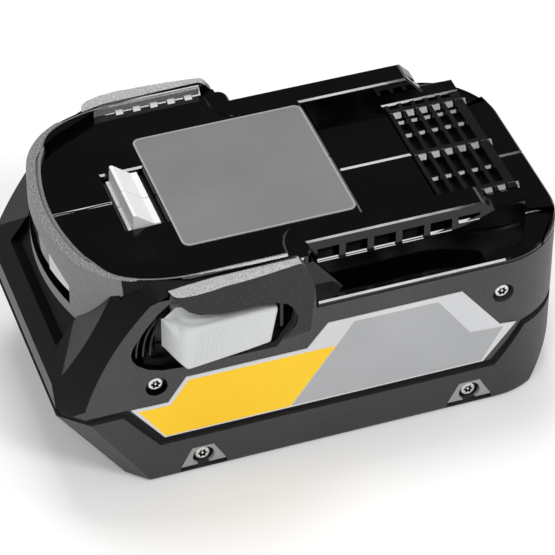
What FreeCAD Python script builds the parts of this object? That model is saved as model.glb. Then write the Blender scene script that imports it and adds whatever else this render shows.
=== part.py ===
import FreeCAD, Part
import math
import os
from types import SimpleNamespace

from FreeCAD import Placement, Rotation, Vector

# Slide-on battery for a vacuum cleaner, in millimetres.
# +X is the end that goes into the machine, +Y is the left side, +Z is up.
# The origin is at the middle of the base.

# Driving sizes, one line each
DIMENSIONS = {
    # Outer case
    "pack_length": 135.0,
    "pack_width": 75.0,
    "case_wall": 2.0,
    "nose_corner_x": 5.7,
    "nose_corner_y": 5.3,
    "tail_corner_radius": 20.0,
    # Parting band between the tray and the housing
    "tray_end_height": 24.0,
    "tray_middle_height": 12.0,
    "tray_tail_height": 22.6,
    "band_height": 2.4,
    "band_recess": 1.2,
    "band_thickness": 1.6,
    "step_start": 51.1,
    "step_foot": 41.9,
    "step_tail_foot": 44.9,
    "step_tail_end": 53.0,
    "step_shift": 1.2,
    # Base of the tray
    "base_nose": 50.5,
    "base_tail": 56.5,
    "base_tail_rise": 14.0,
    "base_edge_radius": 1.6,
    # Deck, rails and plate
    "deck_height": 47.24,
    "deck_flange": 1.6,
    "channel_height": 54.9,
    "plate_height": 60.5,
    "plate_thickness": 2.0,
    "rim_height": 62.8,
    "rim_width": 2.5,
    "fit_gap": 0.2,
    "plate_side": 35.8,
    "step_wall_nose": 6.5,
    "platform_end": 14.5,
    "platform_foot": 17.5,
    "neck_end": 57.5,
    "neck_side": 26.0,
    "channel_side": 22.95,
    "rail_side": 29.8,
    "rail_nose": 2.0,
    "rail_end": 44.0,
    "rail_lip_low": 52.5,
    "rail_window_low": 53.6,
    "rail_window_high": 57.5,
    "rail_window_width": 5.7,
    "rail_window_pitch": 7.4,
    "rail_window_first": 3.4,
    "rail_window_depth": 2.2,
    "apron_rise": 0.5,
    "apron_side": 23.2,
    # Hood, ears and finger opening
    "ear_side": 40.7,
    "ear_tail": 8.5,
    "hood_foot": 2.3,
    "edge_rise": 1.9,
    "edge_foot": 1.9,
    "ear_window_width": 2.3,
    "ear_window_pitch": 4.6,
    "ear_window_first": -30.4,
    "ear_window_height": 0.9,
    # Tab between an ear and its rail, and the slanted wall under it
    "tab_side": 34.3,
    "tab_tail": 2.0,
    "tab_corner": 2.5,
    "tab_thickness": 2.9,
    "tab_wall_side": 34.0,
    "tab_wall_thickness": 2.1,
    "tab_wall_foot": 6.0,
    # Release buttons and latch halves
    "button_travel": 3.2,
    "button_low": 37.9,
    "button_skirt_top": 41.2,
    "button_end_gap": 0.6,
    "button_nose_side": 40.6,
    "button_tail_side": 37.7,
    "button_skirt": 1.6,
    "arm_low": 50.8,
    "arm_high": 54.2,
    "arm_setback": 2.7,
    "arm_width": 4.0,
    "guide_side": 30.0,
    "guide_thickness": 1.4,
    "cam_sum": 64.8,
    "cam_gap": 0.5,
    "latch_nose": 41.2,
    "latch_length": 8.2,
    "latch_side": 10.3,
    "latch_column_side": 7.0,
    "latch_wing_side": 14.3,
    "latch_split": 0.3,
    "latch_low": 49.0,
    "latch_head_low": 58.0,
    "latch_ledge": 58.9,
    "latch_ridge": 63.7,
    "latch_toe": 60.0,
    "latch_guide_gap": 0.3,
    "carrier_wall": 1.5,
    "carrier_floor": 1.2,
    "spring_radius": 2.6,
    "spring_wire": 0.7,
    "spring_turns": 4.5,
    # Charge gauge in the nose
    "mask_low": 44.3,
    "gauge_low": 47.6,
    "gauge_split": 51.3,
    "gauge_shoulder": 53.3,
    "gauge_crown": 57.5,
    "gauge_side": 18.3,
    "gauge_key_inner": 8.2,
    "gauge_key_travel": 0.8,
    "gauge_setback": 15.9,
    "gauge_board_side": 17.0,
    "gauge_board_low": 44.0,
    "gauge_board_thickness": 1.2,
    # Labels
    "label_thickness": 0.25,
    "top_label_nose": 30.9,
    "top_label_tail": 14.0,
    "top_label_side": 21.8,
    "top_label_corner": 2.0,
    # Screws
    "screw_head_radius": 2.0,
    "screw_shank_radius": 1.3,
    "screw_head_height": 1.6,
    "screw_recess": 0.9,
    "screw_hole_radius": 2.85,
    "screw_tip": 33.3,
    "seat_plate_thickness": 1.2,
    # Cells, holders and covers
    "cell_radius": 9.15,
    "cell_length": 65.2,
    "cell_pitch": 18.6,
    "cell_first": -32.5,
    "cell_row_low": 12.0,
    "cell_cap": 0.4,
    "cell_cap_radius": 3.4,
    "cell_clearance": 0.1,
    "holder_inner": 14.0,
    "holder_setback": 1.1,
    "holder_margin": 2.6,
    "holder_cap": 0.65,
    "strip_thickness": 0.2,
    "cover_gap": 0.4,
    "cover_thickness": 1.0,
    "cover_height": 37.2,
    "boss_radius": 2.7,
    "boss_seat": 1.1,
    # Circuit board and terminals
    "board_seat": 1.2,
    "board_thickness": 1.6,
    "board_nose": -8.0,
    "board_tail": 56.0,
    "board_side": 24.0,
    "terminal_nose": 36.9,
    "terminal_side": 20.6,
    "rib_width": 1.6,
    "rib_side": 18.0,
    "fin_pitch": 3.58,
    "fin_width": 1.1,
    "fin_depth": 3.0,
    "fin_count": 6.0,
    "slot_width": 2.4,
    "slot_low": 48.2,
    "slot_high": 51.5,
    "slot_root": 42.8,
    "power_slot_side": 13.0,
    "signal_slot_side": 5.0,
    "leaf_thickness": 0.5,
}

doc = FreeCAD.newDocument("VacuumBattery")
sheet = doc.addObject("Spreadsheet::Sheet", "Sizes")
for row, (alias, number) in enumerate(DIMENSIONS.items(), start=1):
    sheet.set("A%d" % row, alias)
    sheet.set("B%d" % row, str(number))
    sheet.setAlias("B%d" % row, alias)
doc.recompute()


class Size:
    """A length that keeps both its value and the sheet formula it came from."""

    def __init__(self, value, text):
        self.value = value
        self.text = text

    def __float__(self):
        return float(self.value)

    def __neg__(self):
        return Size(-self.value, "(-1 * %s)" % self.text)

    def __add__(self, other):
        other = as_size(other)
        return Size(self.value + other.value, "(%s + %s)" % (self.text, other.text))

    def __radd__(self, other):
        return as_size(other) + self

    def __sub__(self, other):
        return self + (-as_size(other))

    def __rsub__(self, other):
        return as_size(other) - self

    def __mul__(self, other):
        other = as_size(other)
        return Size(self.value * other.value, "(%s * %s)" % (self.text, other.text))

    def __rmul__(self, other):
        return as_size(other) * self

    def __truediv__(self, other):
        other = as_size(other)
        return Size(self.value / other.value, "(%s / %s)" % (self.text, other.text))


def as_size(number):
    """Turn a plain number into a Size, and leave a Size as it is."""
    if isinstance(number, Size):
        return number
    return Size(float(number), "(%.6f)" % float(number))


s = SimpleNamespace(**{name: Size(sheet.get(name), "Sizes." + name) for name in DIMENSIONS})

SIDES = (("left", 1), ("right", -1))
FAR = 200.0
nodes = []


# Helpers for pieces bound to the sheet


def bind(item, prop, size):
    """Bind one property of a document object to a sheet formula."""
    item.setExpression(prop, as_size(size).text)


def ordered(span):
    """Give a span's two ends with the smaller one first."""
    first, second = as_size(span[0]), as_size(span[1])
    if first.value > second.value:
        return second, first
    return first, second


def box(name, x_span, y_span, z_span):
    """A block between two values on each axis."""
    item = doc.addObject("Part::Box", name)
    for prop, axis, span in (("Length", "x", x_span), ("Width", "y", y_span), ("Height", "z", z_span)):
        low, high = ordered(span)
        bind(item, prop, high - low)
        bind(item, "Placement.Base." + axis, low)
    return item


def rod(name, x, z, radius, y_span):
    """A round bar along Y."""
    item = doc.addObject("Part::Cylinder", name)
    low, high = ordered(y_span)
    item.Placement = Placement(Vector(0, 0, 0), Rotation(Vector(1, 0, 0), -90))
    bind(item, "Radius", radius)
    bind(item, "Height", high - low)
    bind(item, "Placement.Base.x", x)
    bind(item, "Placement.Base.y", low)
    bind(item, "Placement.Base.z", z)
    return item


def cut(name, base, tools):
    """Take the tools away from the base."""
    tool = tools[0] if len(tools) == 1 else fuse(name + "_tools", tools)
    item = doc.addObject("Part::Cut", name)
    item.Base = base
    item.Tool = tool
    return item


def fuse(name, parts):
    """Join the parts into one shape."""
    item = doc.addObject("Part::MultiFuse", name)
    item.Shapes = parts
    return item


def group(name, parts):
    """Keep the parts as separate solids of one node."""
    item = doc.addObject("Part::Compound", name)
    item.Links = parts
    return item


def node(item, label):
    """Name a finished piece and list it for writing."""
    item.Label = label
    nodes.append(item)
    return item


def made(label, shape):
    """A finished piece whose shape is worked out here from the sheet's values."""
    item = doc.addObject("Part::Feature", label)
    item.Shape = shape
    item.Placement = Placement()
    return node(item, label)


# Helpers for shapes worked out from the sheet's values


def block(x_span, y_span, z_span):
    """A block as a bare shape."""
    spans = [sorted((float(a), float(b))) for a, b in (x_span, y_span, z_span)]
    size = [high - low for low, high in spans]
    return Part.makeBox(size[0], size[1], size[2], Vector(*[low for low, _ in spans]))


def bar(x, z, radius, y_span):
    """A round bar along Y as a bare shape."""
    low, high = sorted((float(y_span[0]), float(y_span[1])))
    return Part.makeCylinder(float(radius), high - low, Vector(float(x), low, float(z)), Vector(0, 1, 0))


def side_prism(points, y_span):
    """A shape drawn in side view (X, Z) and run along Y."""
    low, high = sorted((float(y_span[0]), float(y_span[1])))
    corners = [Vector(float(x), low, float(z)) for x, z in points]
    face = Part.Face(Part.makePolygon(corners + corners[:1]))
    return face.extrude(Vector(0, high - low, 0))


def end_prism(points, x_span):
    """A shape drawn in end view (Y, Z) and run along X."""
    low, high = sorted((float(x_span[0]), float(x_span[1])))
    corners = [Vector(low, float(y), float(z)) for y, z in points]
    face = Part.Face(Part.makePolygon(corners + corners[:1]))
    return face.extrude(Vector(high - low, 0, 0))


def plan_prism(edges, z_span, inset=0.0):
    """A shape drawn in plan (X, Y), drawn in by inset, and run up Z."""
    low, high = sorted((float(z_span[0]), float(z_span[1])))
    face = Part.Face(Part.Wire(Part.sortEdges(edges)[0]))
    if float(inset) > 0:
        face = face.makeOffset2D(-float(inset))
    face.translate(Vector(0, 0, low))
    return face.extrude(Vector(0, 0, high - low))


def line(first, second):
    """A straight edge in plan."""
    return Part.LineSegment(Vector(*map(float, first)), Vector(*map(float, second))).toShape()


def arc(first, middle, last):
    """A round edge in plan through three points."""
    ends = [Vector(float(p[0]), float(p[1]), 0) for p in (first, middle, last)]
    return Part.Arc(*ends).toShape()


def beyond(points, inset=0.0):
    """The half of space outside a plane through three points, seen from the case's middle."""
    a, b, c = [Vector(*map(float, p)) for p in points]
    normal = (b - a).cross(c - a).normalize()
    if normal.dot(a - Vector(0, 0, 30)) < 0:
        normal = normal * -1
    slab = Part.makeBox(2 * FAR, 2 * FAR, FAR, Vector(-FAR, -FAR, 0))
    slab.Placement = Placement(a - normal * float(inset), Rotation(Vector(0, 0, 1), normal))
    return slab


# Places worked out from the driving sizes
half_length = s.pack_length / 2
half_width = s.pack_width / 2
inner_side = half_width - s.case_wall
plate_low = s.plate_height - s.plate_thickness
deck_low = s.deck_height - s.deck_flange
cell_end = s.cell_length / 2
holder_outer = cell_end - s.holder_setback
cover_inner = cell_end + s.cover_gap
latch_tail = s.latch_nose - s.latch_length
arm_nose = s.latch_nose - s.arm_setback
arm_tail = arm_nose - s.arm_width
cell_rows = (s.cell_row_low, s.cell_row_low + s.cell_pitch)
cell_columns = [s.cell_first + s.cell_pitch * column for column in range(5)]
holder_nose = s.cell_first - s.cell_radius - s.holder_margin
holder_tail = cell_columns[-1] + s.cell_radius + s.holder_margin
cover_tail = cell_columns[-1] + s.cell_radius - s.fit_gap
holder_height = cell_rows[1] + s.cell_radius + s.holder_cap
board_low = holder_height + s.board_seat
board_high = board_low + s.board_thickness
deck_edge = s.plate_side - 0.05
guide_face = s.guide_side + s.guide_thickness
button_back = guide_face + s.button_travel + s.button_end_gap
gauge_board_x = half_length - s.gauge_setback

# Slanted planes of the nose, three points each: back from the nose end, in from one side, up from the base
LEAN_PLANE = [(0, 0, 32.3), (0, 30, 32.3), (9.0, 0, 45.0)]
CHEEK_PLANE = [(9.0, 17.5, 45.0), (0, 4.3, 32.3), (18.5, 5.3, 62.2)]
BOW_PLANE = [(0, 5.3, 26.0), (5.7, 0, 26.0), (21.3, 0, 1.5)]

# The curved facet beside the nose: an arc in side view, its middle as (back from the nose end, up), its radius,
# its lower and upper ends, and the way in which it is carried (to the nose, inwards)
FACET_MIDDLE = (76.4, 7.1)
FACET_RADIUS = 74.0
FACET_SPAN = (20.0, 70.0)
FACET_WAY = (5.3, 7.0)
# How the facet's inner side is drawn in for a wall of 1: its middle moves to the tail, its radius shrinks
FACET_WALL_SHIFT, FACET_WALL_SHRINK = 0.43, 0.83

# How far back from the nose end the leaning faces, the rim's wall and the rim itself reach
LEAN_REACH = 17.5
RIM_REACH = 27.5
RIM_END = 32.0


def nose_place(back):
    """A place along the pack, given as a distance back from the nose end."""
    return back - float(half_length)


def nose_points(points, side):
    """Points of a nose plane in the part's own axes, on one side."""
    return [(nose_place(back), side * (float(half_width) - inside), z) for back, inside, z in points]


def case_outline():
    """The case in plan: cut corners at the nose and round corners at the tail."""
    length, width = float(half_length), float(half_width)
    cut_x, cut_y = float(s.nose_corner_x), float(s.nose_corner_y)
    radius = float(s.tail_corner_radius)
    middle = radius * (1 - math.sqrt(0.5))
    edges = [line((-length, cut_y - width), (-length, width - cut_y))]
    edges.append(line((length, radius - width), (length, width - radius)))
    for side in (1, -1):
        edges.append(line((-length, side * (width - cut_y)), (cut_x - length, side * width)))
        edges.append(line((cut_x - length, side * width), (length - radius, side * width)))
        round_points = [(length - radius, width), (length - middle, width - middle), (length, width - radius)]
        edges.append(arc(*[(x, side * y) for x, y in round_points]))
    return edges


# The rim's outline on one side, as distances back from its front and out from the middle
RIM_FRONT = 5.6
RIM_BOW_END = (3.1, 19.5)
RIM_SHOULDER = (6.9, 26.2)
RIM_SHOULDER_END = (12.4, 31.0)
RIM_FLANK = (17.5, 33.6)
RIM_FLANK_END = 25.4


def rim_outline(inset):
    """The rim in plan: a bowed front, round shoulders and straight flanks, closed at the tail."""
    front = RIM_FRONT - float(half_length) + inset
    edge = float(deck_edge)
    tail = -float(s.ear_tail)
    bow_end = (front + RIM_BOW_END[0], RIM_BOW_END[1])
    shoulder_end = (front + RIM_SHOULDER_END[0], RIM_SHOULDER_END[1] - inset)
    shoulder = [bow_end, (front + RIM_SHOULDER[0], RIM_SHOULDER[1] - 0.6 * inset), shoulder_end]
    flank = [shoulder_end, (front + RIM_FLANK[0], RIM_FLANK[1] - inset), (front + RIM_FLANK_END, edge)]
    edges = [arc(bow_end, (front, 0), (bow_end[0], -bow_end[1])), line((tail, edge), (tail, -edge))]
    for side in (1, -1):
        edges.append(arc(*[(x, side * y) for x, y in shoulder]))
        edges.append(arc(*[(x, side * y) for x, y in flank]))
        edges.append(line((front + RIM_FLANK_END, side * edge), (tail, side * edge)))
    return edges


def seam(lift, shift):
    """The stepped parting line in side view, from nose to tail, raised by lift and drawn in by shift."""
    return [
        (-half_length, s.tray_end_height + lift),
        (-s.step_start - shift, s.tray_end_height + lift),
        (-s.step_foot - shift, s.tray_middle_height + lift),
        (s.step_tail_foot + shift, s.tray_middle_height + lift),
        (s.step_tail_end + shift, s.tray_tail_height + lift),
        (half_length, s.tray_tail_height + lift),
    ]


tray_seam = seam(0, s.step_shift)
housing_seam = seam(s.band_height, 0)


# Lower tray


def tray_form(inset):
    """The tray's solid form, drawn in by inset, with an open top where it is drawn in."""
    length, wall = float(half_length), float(inset)
    bow = math.hypot(length - float(s.base_nose), float(s.tray_end_height))
    bow_shift = wall * bow / float(s.tray_end_height)
    tail = math.hypot(length - float(s.base_tail), float(s.base_tail_rise))
    tail_shift = wall * tail / float(s.base_tail_rise)
    rise = wall * (length - float(s.base_nose)) / float(s.tray_end_height)
    tail_rise = wall * (length - float(s.base_tail)) / float(s.base_tail_rise)
    foot = [(float(s.base_tail) + tail_rise - tail_shift, wall)]
    foot.append((bow_shift - rise - float(s.base_nose), wall))
    if wall > 0:
        top = float(s.rim_height)
        lean = (length - float(s.base_nose)) / float(s.tray_end_height)
        points = [(bow_shift - float(s.base_nose) - lean * top, top)]
        points += [(length - wall, top), (length - wall, float(s.base_tail_rise) + 0.6 * wall)] + foot
    else:
        points = tray_seam + [(length, s.base_tail_rise)] + foot
    form = side_prism(points, (-half_width, half_width))
    form = form.common(plan_prism(case_outline(), (-1, FAR), inset))
    for side_name, side in SIDES:
        form = form.cut(beyond(nose_points(BOW_PLANE, side), inset))
    return form


def base_edges(shape):
    """The outline edges of the flat base."""
    return [edge for edge in shape.Edges if edge.BoundBox.ZMax < 0.01]


# Screw places in side view (X, Z), alike on both sides
LOWER_SCREWS = [(-31.9, 4.9), (39.6, 4.8)]
UPPER_SCREWS = [(-43.5, 32.0), (47.4, 36.0)]

# Seat plate of a lower screw: heights of its ends and reach to the tail and nose at each end
SEAT_LOW, SEAT_HIGH = 2.4, 8.2
SEAT_FOOT = 6.0
SEAT_TOP_TAIL, SEAT_TOP_NOSE = 2.7, 2.9
SEAT_GAP = 0.05
SEAT_SLOT = 1.4


def seat_plate(x, side, grow, drop):
    """A four-sided plate round a lower screw, wider at the bottom, on one side wall."""
    low, high, foot = SEAT_LOW - grow, SEAT_HIGH + grow, SEAT_FOOT + grow
    tail_top, nose_top = x + SEAT_TOP_TAIL + grow, x - SEAT_TOP_NOSE - grow
    points = [(x + foot, low), (tail_top, high), (nose_top, high), (x - foot, low)]
    if drop:
        points += [(x - foot, low - drop), (x + foot, low - drop)]
    outer = half_width + (1 if grow else 0)
    return side_prism(points, (side * (half_width - s.seat_plate_thickness - grow), side * outer))


def screw_recess(x, z, side):
    """The sunk hole that a screw's head sits in, with the hole for its shank."""
    sink = half_width - s.screw_recess - s.screw_head_height
    outside = side * (half_width + 2)
    wide = bar(x, z, s.screw_hole_radius, (side * sink, outside))
    return wide.fuse(bar(x, z, s.screw_shank_radius + 0.15, (side * cover_inner, outside)))


# Pads inside the tray's side walls behind the seat plates
PAD_REACH = 4.2
PAD_TOP = 8.6

tray_solid = tray_form(0)
tray_solid = tray_solid.makeFillet(float(s.base_edge_radius), base_edges(tray_solid))
tray_solid = tray_solid.cut(tray_form(s.case_wall))
for side_name, side in SIDES:
    for x, z in LOWER_SCREWS:
        pad_span = (side * (inner_side - s.boss_seat), side * (inner_side + 0.5))
        pad = block((x - PAD_REACH, x + PAD_REACH), pad_span, (s.case_wall, PAD_TOP))
        tray_solid = tray_solid.fuse(pad)
        tray_solid = tray_solid.cut(seat_plate(x, side, SEAT_GAP, SEAT_SLOT))
        tray_solid = tray_solid.cut(screw_recess(x, z, side))
made("lower_tray", tray_solid.removeSplitter())


# Parting band

band_points = list(tray_seam) + list(reversed(housing_seam))
band_solid = side_prism(band_points, (-half_width, half_width))
band_ring = plan_prism(case_outline(), (0, FAR), s.band_recess)
band_ring = band_ring.cut(plan_prism(case_outline(), (0, FAR), s.band_recess + s.band_thickness))
made("seam_gasket", band_solid.common(band_ring).removeSplitter())


# Upper housing


def beyond_facet(side, inset):
    """Everything outside the curved facet beside the nose on one side, drawn in by inset."""
    radius = FACET_RADIUS - FACET_WALL_SHRINK * inset
    middle = nose_place(FACET_MIDDLE[0]) + FACET_WALL_SHIFT * inset
    outside = float(half_width) + 2
    carry = FACET_WAY[0] / FACET_WAY[1]
    low, high = FACET_SPAN
    corners = []
    for z in (low, (low + high) / 2, high):
        back = math.sqrt(radius ** 2 - (z - FACET_MIDDLE[1]) ** 2)
        corners.append(Vector(middle - back + 2 * carry, side * outside, z))
    far_high = Vector(-FAR, side * outside, high)
    far_low = Vector(-FAR, side * outside, low)
    edges = [Part.Arc(*corners).toShape()]
    for first, second in ((corners[2], far_high), (far_high, far_low), (far_low, corners[0])):
        edges.append(Part.LineSegment(first, second).toShape())
    return Part.Face(Part.Wire(edges)).extrude(Vector(-carry * outside, -side * outside, 0))


def nose_form(inset):
    """The case above the parting line, leaning back at the nose, drawn in by inset."""
    top = s.rim_height if inset == 0 else s.rim_height + 5
    body = plan_prism(case_outline(), (0, top), inset)
    shape = body.cut(beyond(nose_points(LEAN_PLANE, 1), inset))
    for side_name, side in SIDES:
        cheek = body.cut(beyond(nose_points(CHEEK_PLANE, side), inset))
        beside = block((-FAR, nose_place(LEAN_REACH)), (0, side * FAR), (0, FAR))
        shape = shape.fuse(cheek.common(beside))
    for side_name, side in SIDES:
        shape = shape.cut(beyond_facet(side, float(inset)))
    mask = plan_prism(rim_outline(float(s.rim_width) if inset else 0.0), (s.mask_low + inset, top))
    return shape.fuse(mask.common(block((-FAR, nose_place(RIM_REACH)), (-FAR, FAR), (0, FAR))))


# How deep the gauge's opening goes into the nose
GAUGE_DEPTH = 5.5


def gauge_strip(y_span, z_span, sink, depth, margin):
    """A curved strip behind the nose's face, inside the arched outline of the gauge's opening."""
    side, low = float(s.gauge_side) - margin, float(s.gauge_low) + margin
    shoulder, crown = float(s.gauge_shoulder) - margin, float(s.gauge_crown) - margin
    corners = [Vector(-FAR, -side, shoulder), Vector(-FAR, -side, low), Vector(-FAR, side, low),
               Vector(-FAR, side, shoulder)]
    edges = [Part.LineSegment(first, second).toShape() for first, second in zip(corners, corners[1:])]
    edges.append(Part.Arc(corners[0], Vector(-FAR, 0, crown), corners[3]).toShape())
    opening = Part.Face(Part.Wire(edges)).extrude(Vector(FAR + nose_place(LEAN_REACH), 0, 0))
    strip = plan_prism(rim_outline(sink), (0, FAR)).cut(plan_prism(rim_outline(sink + depth), (0, FAR)))
    return strip.common(opening).common(block((-FAR, 0), y_span, z_span))


def hood_side():
    """The housing in side view: stepped below, deck height at the tail, rim height at the nose."""
    foot_x, foot_z = -float(s.hood_foot), float(s.deck_height)
    head_x, head_z = -float(s.ear_tail), float(s.rim_height)
    points = list(housing_seam) + [(half_length, deck_low), (foot_x, deck_low), (foot_x, foot_z)]
    for turn in (0.2, 0.4, 0.6, 0.8):
        angle = turn * math.pi / 2
        across = foot_x - (foot_x - head_x) * (1 - math.cos(angle))
        points.append((across, foot_z + (head_z - foot_z) * math.sin(angle)))
    return points + [(head_x, head_z), (-half_length, head_z)]


# An ear in plan, as (X, how far inside its widest place): its tip, prow, shoulder, flank and tail end
EAR_TIP, EAR_TIP_BOW = (-39.3, 3.5), (-38.9, 2.0)
EAR_PROW, EAR_SHOULDER, EAR_BELLY = (-37.0, 0.6), (-33.5, 0.0), (-27.0, 0.3)
EAR_FLANK, EAR_HEEL, EAR_HEEL_BOW = (-19.0, 0.7), (-11.5, 1.5), (-7.2, 2.1)
EAR_ROOT_NOSE, EAR_END = -33.0, -2.6
# The ear in side view (X, Z): its arched underside and the end of its tail, then its top from the tail to the tip
EAR_ARCH = [(-39.6, 61.0), (-38.8, 60.2), (-37.6, 58.6), (-35.8, 56.6), (-33.0, 55.1), (-29.7, 54.4), (-25.3, 53.7),
            (-20.2, 53.4), (-14.5, 52.9), (-10.3, 50.6), (-8.3, 48.2), (-7.4, 45.0), (-8.0, 42.2), (-9.8, 39.3),
            (-11.0, 37.3), (-1.0, 37.3)]
EAR_TOP = [(-1.0, 62.3), (-11.0, 62.3), (-28.0, 62.1), (-34.5, 61.6), (-39.6, 61.0)]
# Width of the raised lip between the deck and the ear's top
EAR_LIP = 0.6
# Where the ear's outer face meets the case's side below, and how high its full thickness starts
EAR_BLEND_LOW, EAR_BLEND_HIGH = 37.5, 51.0

# The finger opening in side view, and the hollow over the nose's ridge as (back from the nose end, up)
FINGER_OPENING = [(-49.2, 46.0), (-49.7, 44.2), (-49.4, 42.2), (-48.2, 40.3), (-45.6, 38.3), (-42.0, 37.0),
                  (-36.2, 36.4), (-12.6, 36.0), (-10.2, 39.2), (-8.2, 42.2), (-7.6, 45.0), (-8.5, 48.0),
                  (-10.5, 50.3), (-14.5, 52.6), (-28.0, 53.9), (-35.5, 57.4), (-38.9, 58.4), (-40.9, 56.8),
                  (-42.8, 55.1), (-45.3, 52.0), (-47.6, 48.8)]
CHIN_HOLLOW = [(3.1, 37.2), (5.9, 37.8), (10.3, 44.3), (10.3, 46.4), (7.0, 46.4)]
CHIN_SIDE = 21.0
SCREW_PAD_RADIUS = 4.0


def ear_form(side):
    """The overhanging ear above a release button."""
    reach, root = float(s.ear_side), float(inner_side)

    def place(point):
        return point[0], side * (reach - point[1])

    edges = [arc(place(EAR_TIP), place(EAR_TIP_BOW), place(EAR_PROW))]
    edges.append(arc(place(EAR_PROW), place(EAR_SHOULDER), place(EAR_BELLY)))
    edges.append(arc(place(EAR_BELLY), place(EAR_FLANK), place(EAR_HEEL)))
    tail = (EAR_END, side * float(half_width))
    edges.append(arc(place(EAR_HEEL), place(EAR_HEEL_BOW), tail))
    edges.append(line(tail, (EAR_END, side * root)))
    edges.append(line((EAR_END, side * root), (EAR_ROOT_NOSE, side * root)))
    edges.append(line((EAR_ROOT_NOSE, side * root), place(EAR_TIP)))
    plan = plan_prism(edges, (0, s.rim_height))
    blend = [(side * root, 0), (side * float(half_width), 0), (side * float(half_width), EAR_BLEND_LOW),
             (side * reach, EAR_BLEND_HIGH), (side * reach, FAR), (side * root, FAR)]
    plan = plan.common(end_prism(blend, (-FAR, FAR)))
    return plan.common(side_prism(EAR_ARCH + EAR_TOP[:-1], (-FAR, FAR))).common(side_prism(hood_side(), (-FAR, FAR)))


housing_solid = nose_form(0)
chin_points = [(nose_place(back), z) for back, z in CHIN_HOLLOW]
lip = plan_prism(rim_outline(0.0), (s.mask_low, FAR))
chin_cut = side_prism(chin_points, (-CHIN_SIDE, CHIN_SIDE)).cut(lip)
housing_solid = housing_solid.cut(nose_form(float(s.case_wall)))
housing_solid = housing_solid.cut(chin_cut)
rim_run = (nose_place(RIM_REACH) - 1, nose_place(RIM_END))
rim_end = plan_prism(rim_outline(0.0), (plate_low + s.fit_gap, s.rim_height))
housing_solid = housing_solid.fuse(rim_end.common(block(rim_run, (-FAR, FAR), (0, FAR))))
top_opening = plan_prism(rim_outline(float(s.rim_width)), (deck_low, FAR))
housing_solid = housing_solid.cut(top_opening)
tail_clear = block((-s.ear_tail - 1, half_length), (-deck_edge, deck_edge), (deck_low, FAR))
housing_solid = housing_solid.cut(tail_clear)
housing_solid = housing_solid.common(side_prism(hood_side(), (-FAR, FAR)))
for side_name, side in SIDES:
    wall_span = (side * (inner_side - 2.5), side * (half_width + 1.5))
    housing_solid = housing_solid.cut(side_prism(FINGER_OPENING, wall_span))
    above_ear = EAR_TOP + [(EAR_TOP[-1][0], FAR), (EAR_TOP[0][0], FAR)]
    housing_solid = housing_solid.cut(side_prism(above_ear, (side * (deck_edge + EAR_LIP), side * FAR)))
    housing_solid = housing_solid.fuse(ear_form(side))
    beside_plate = block((-FAR, 0), (0, side * deck_edge), (plate_low, FAR))
    housing_solid = housing_solid.cut(beside_plate.common(top_opening))
    for x, z in UPPER_SCREWS:
        pad_span = (side * (inner_side - s.boss_seat), side * (inner_side + 0.5))
        housing_solid = housing_solid.fuse(bar(x, z, SCREW_PAD_RADIUS, pad_span))
        housing_solid = housing_solid.cut(screw_recess(x, z, side))
housing_solid = housing_solid.cut(gauge_strip((-FAR, FAR), (s.gauge_low, FAR), 0.0, GAUGE_DEPTH, 0.0))
made("upper_housing", housing_solid.removeSplitter())


# Charge gauge


# How far the window, its foot and the key lie behind the nose's face, their depths, and the gap round them
WINDOW_SINK, WINDOW_DEPTH = 0.5, 1.5
FOOT_SINK, FOOT_DEPTH = 1.6, 1.2
KEY_SINK, KEY_DEPTH = 0.1, 2.0
GAUGE_GAP = 0.2

# Depth of the gauge's switch and lights, and the stem that joins the key to the switch
SWITCH_HEIGHT = 1.2
LIGHT_HEIGHT = 1.4
KEY_BACK = 8.6
KEY_STEM_SIDE = (-14.8, -12.4)
KEY_STEM_HEIGHT = (51.9, 54.1)
SWITCH_SIDE = (-15.5, -11.7)
SWITCH_SPAN = (51.1, 54.9)
LIGHT_SPAN = (52.6, 54.2)

split_gap = s.fit_gap / 2
window_side = (split_gap - s.gauge_key_inner, FAR)
link_span = (s.gauge_split - 1, s.gauge_split)
window_solid = gauge_strip(window_side, (s.gauge_split, FAR), WINDOW_SINK, WINDOW_DEPTH, GAUGE_GAP)
window_foot = gauge_strip((-FAR, FAR), (0, s.gauge_split - split_gap), FOOT_SINK, FOOT_DEPTH, GAUGE_GAP)
link_depth = WINDOW_SINK + WINDOW_DEPTH - FOOT_SINK
window_link = gauge_strip(window_side, link_span, FOOT_SINK, link_depth, GAUGE_GAP)
made("gauge_window", window_solid.fuse([window_foot, window_link]).removeSplitter())
key_side = (-FAR, -s.gauge_key_inner - split_gap)
key_solid = gauge_strip(key_side, (s.gauge_split + split_gap, FAR), KEY_SINK, KEY_DEPTH, GAUGE_GAP)
switch_face = gauge_board_x + SWITCH_HEIGHT
stem_run = (-switch_face - s.gauge_key_travel - 0.1, nose_place(KEY_BACK))
key_stem = block(stem_run, KEY_STEM_SIDE, KEY_STEM_HEIGHT)
made("gauge_key", key_solid.fuse(key_stem).removeSplitter())

gauge_plate = box("gauge_plate", (-gauge_board_x, s.gauge_board_thickness - gauge_board_x),
                  (-s.gauge_board_side, s.gauge_board_side), (s.gauge_board_low, plate_low - s.fit_gap))
gauge_switch = box("gauge_switch", (-gauge_board_x, -switch_face), SWITCH_SIDE, SWITCH_SPAN)
node(fuse("gauge_board", [gauge_plate, gauge_switch]), "gauge_board")
leds = []
for count in range(4):
    y = -5.0 + 6.5 * count
    leds.append(box("gauge_led_%d" % (count + 1), (-gauge_board_x, -gauge_board_x - LIGHT_HEIGHT),
                    (y - 1.0, y + 1.0), LIGHT_SPAN))
node(group("gauge_leds", leds), "gauge_leds")


# Glossy deck, split along the middle


def rail_low(x):
    """Height of the rail lip's lower edge, which curves up towards the tail."""
    return float(s.rail_lip_low) + max(0.0, x - 26.0) ** 2 / 95.0


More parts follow.
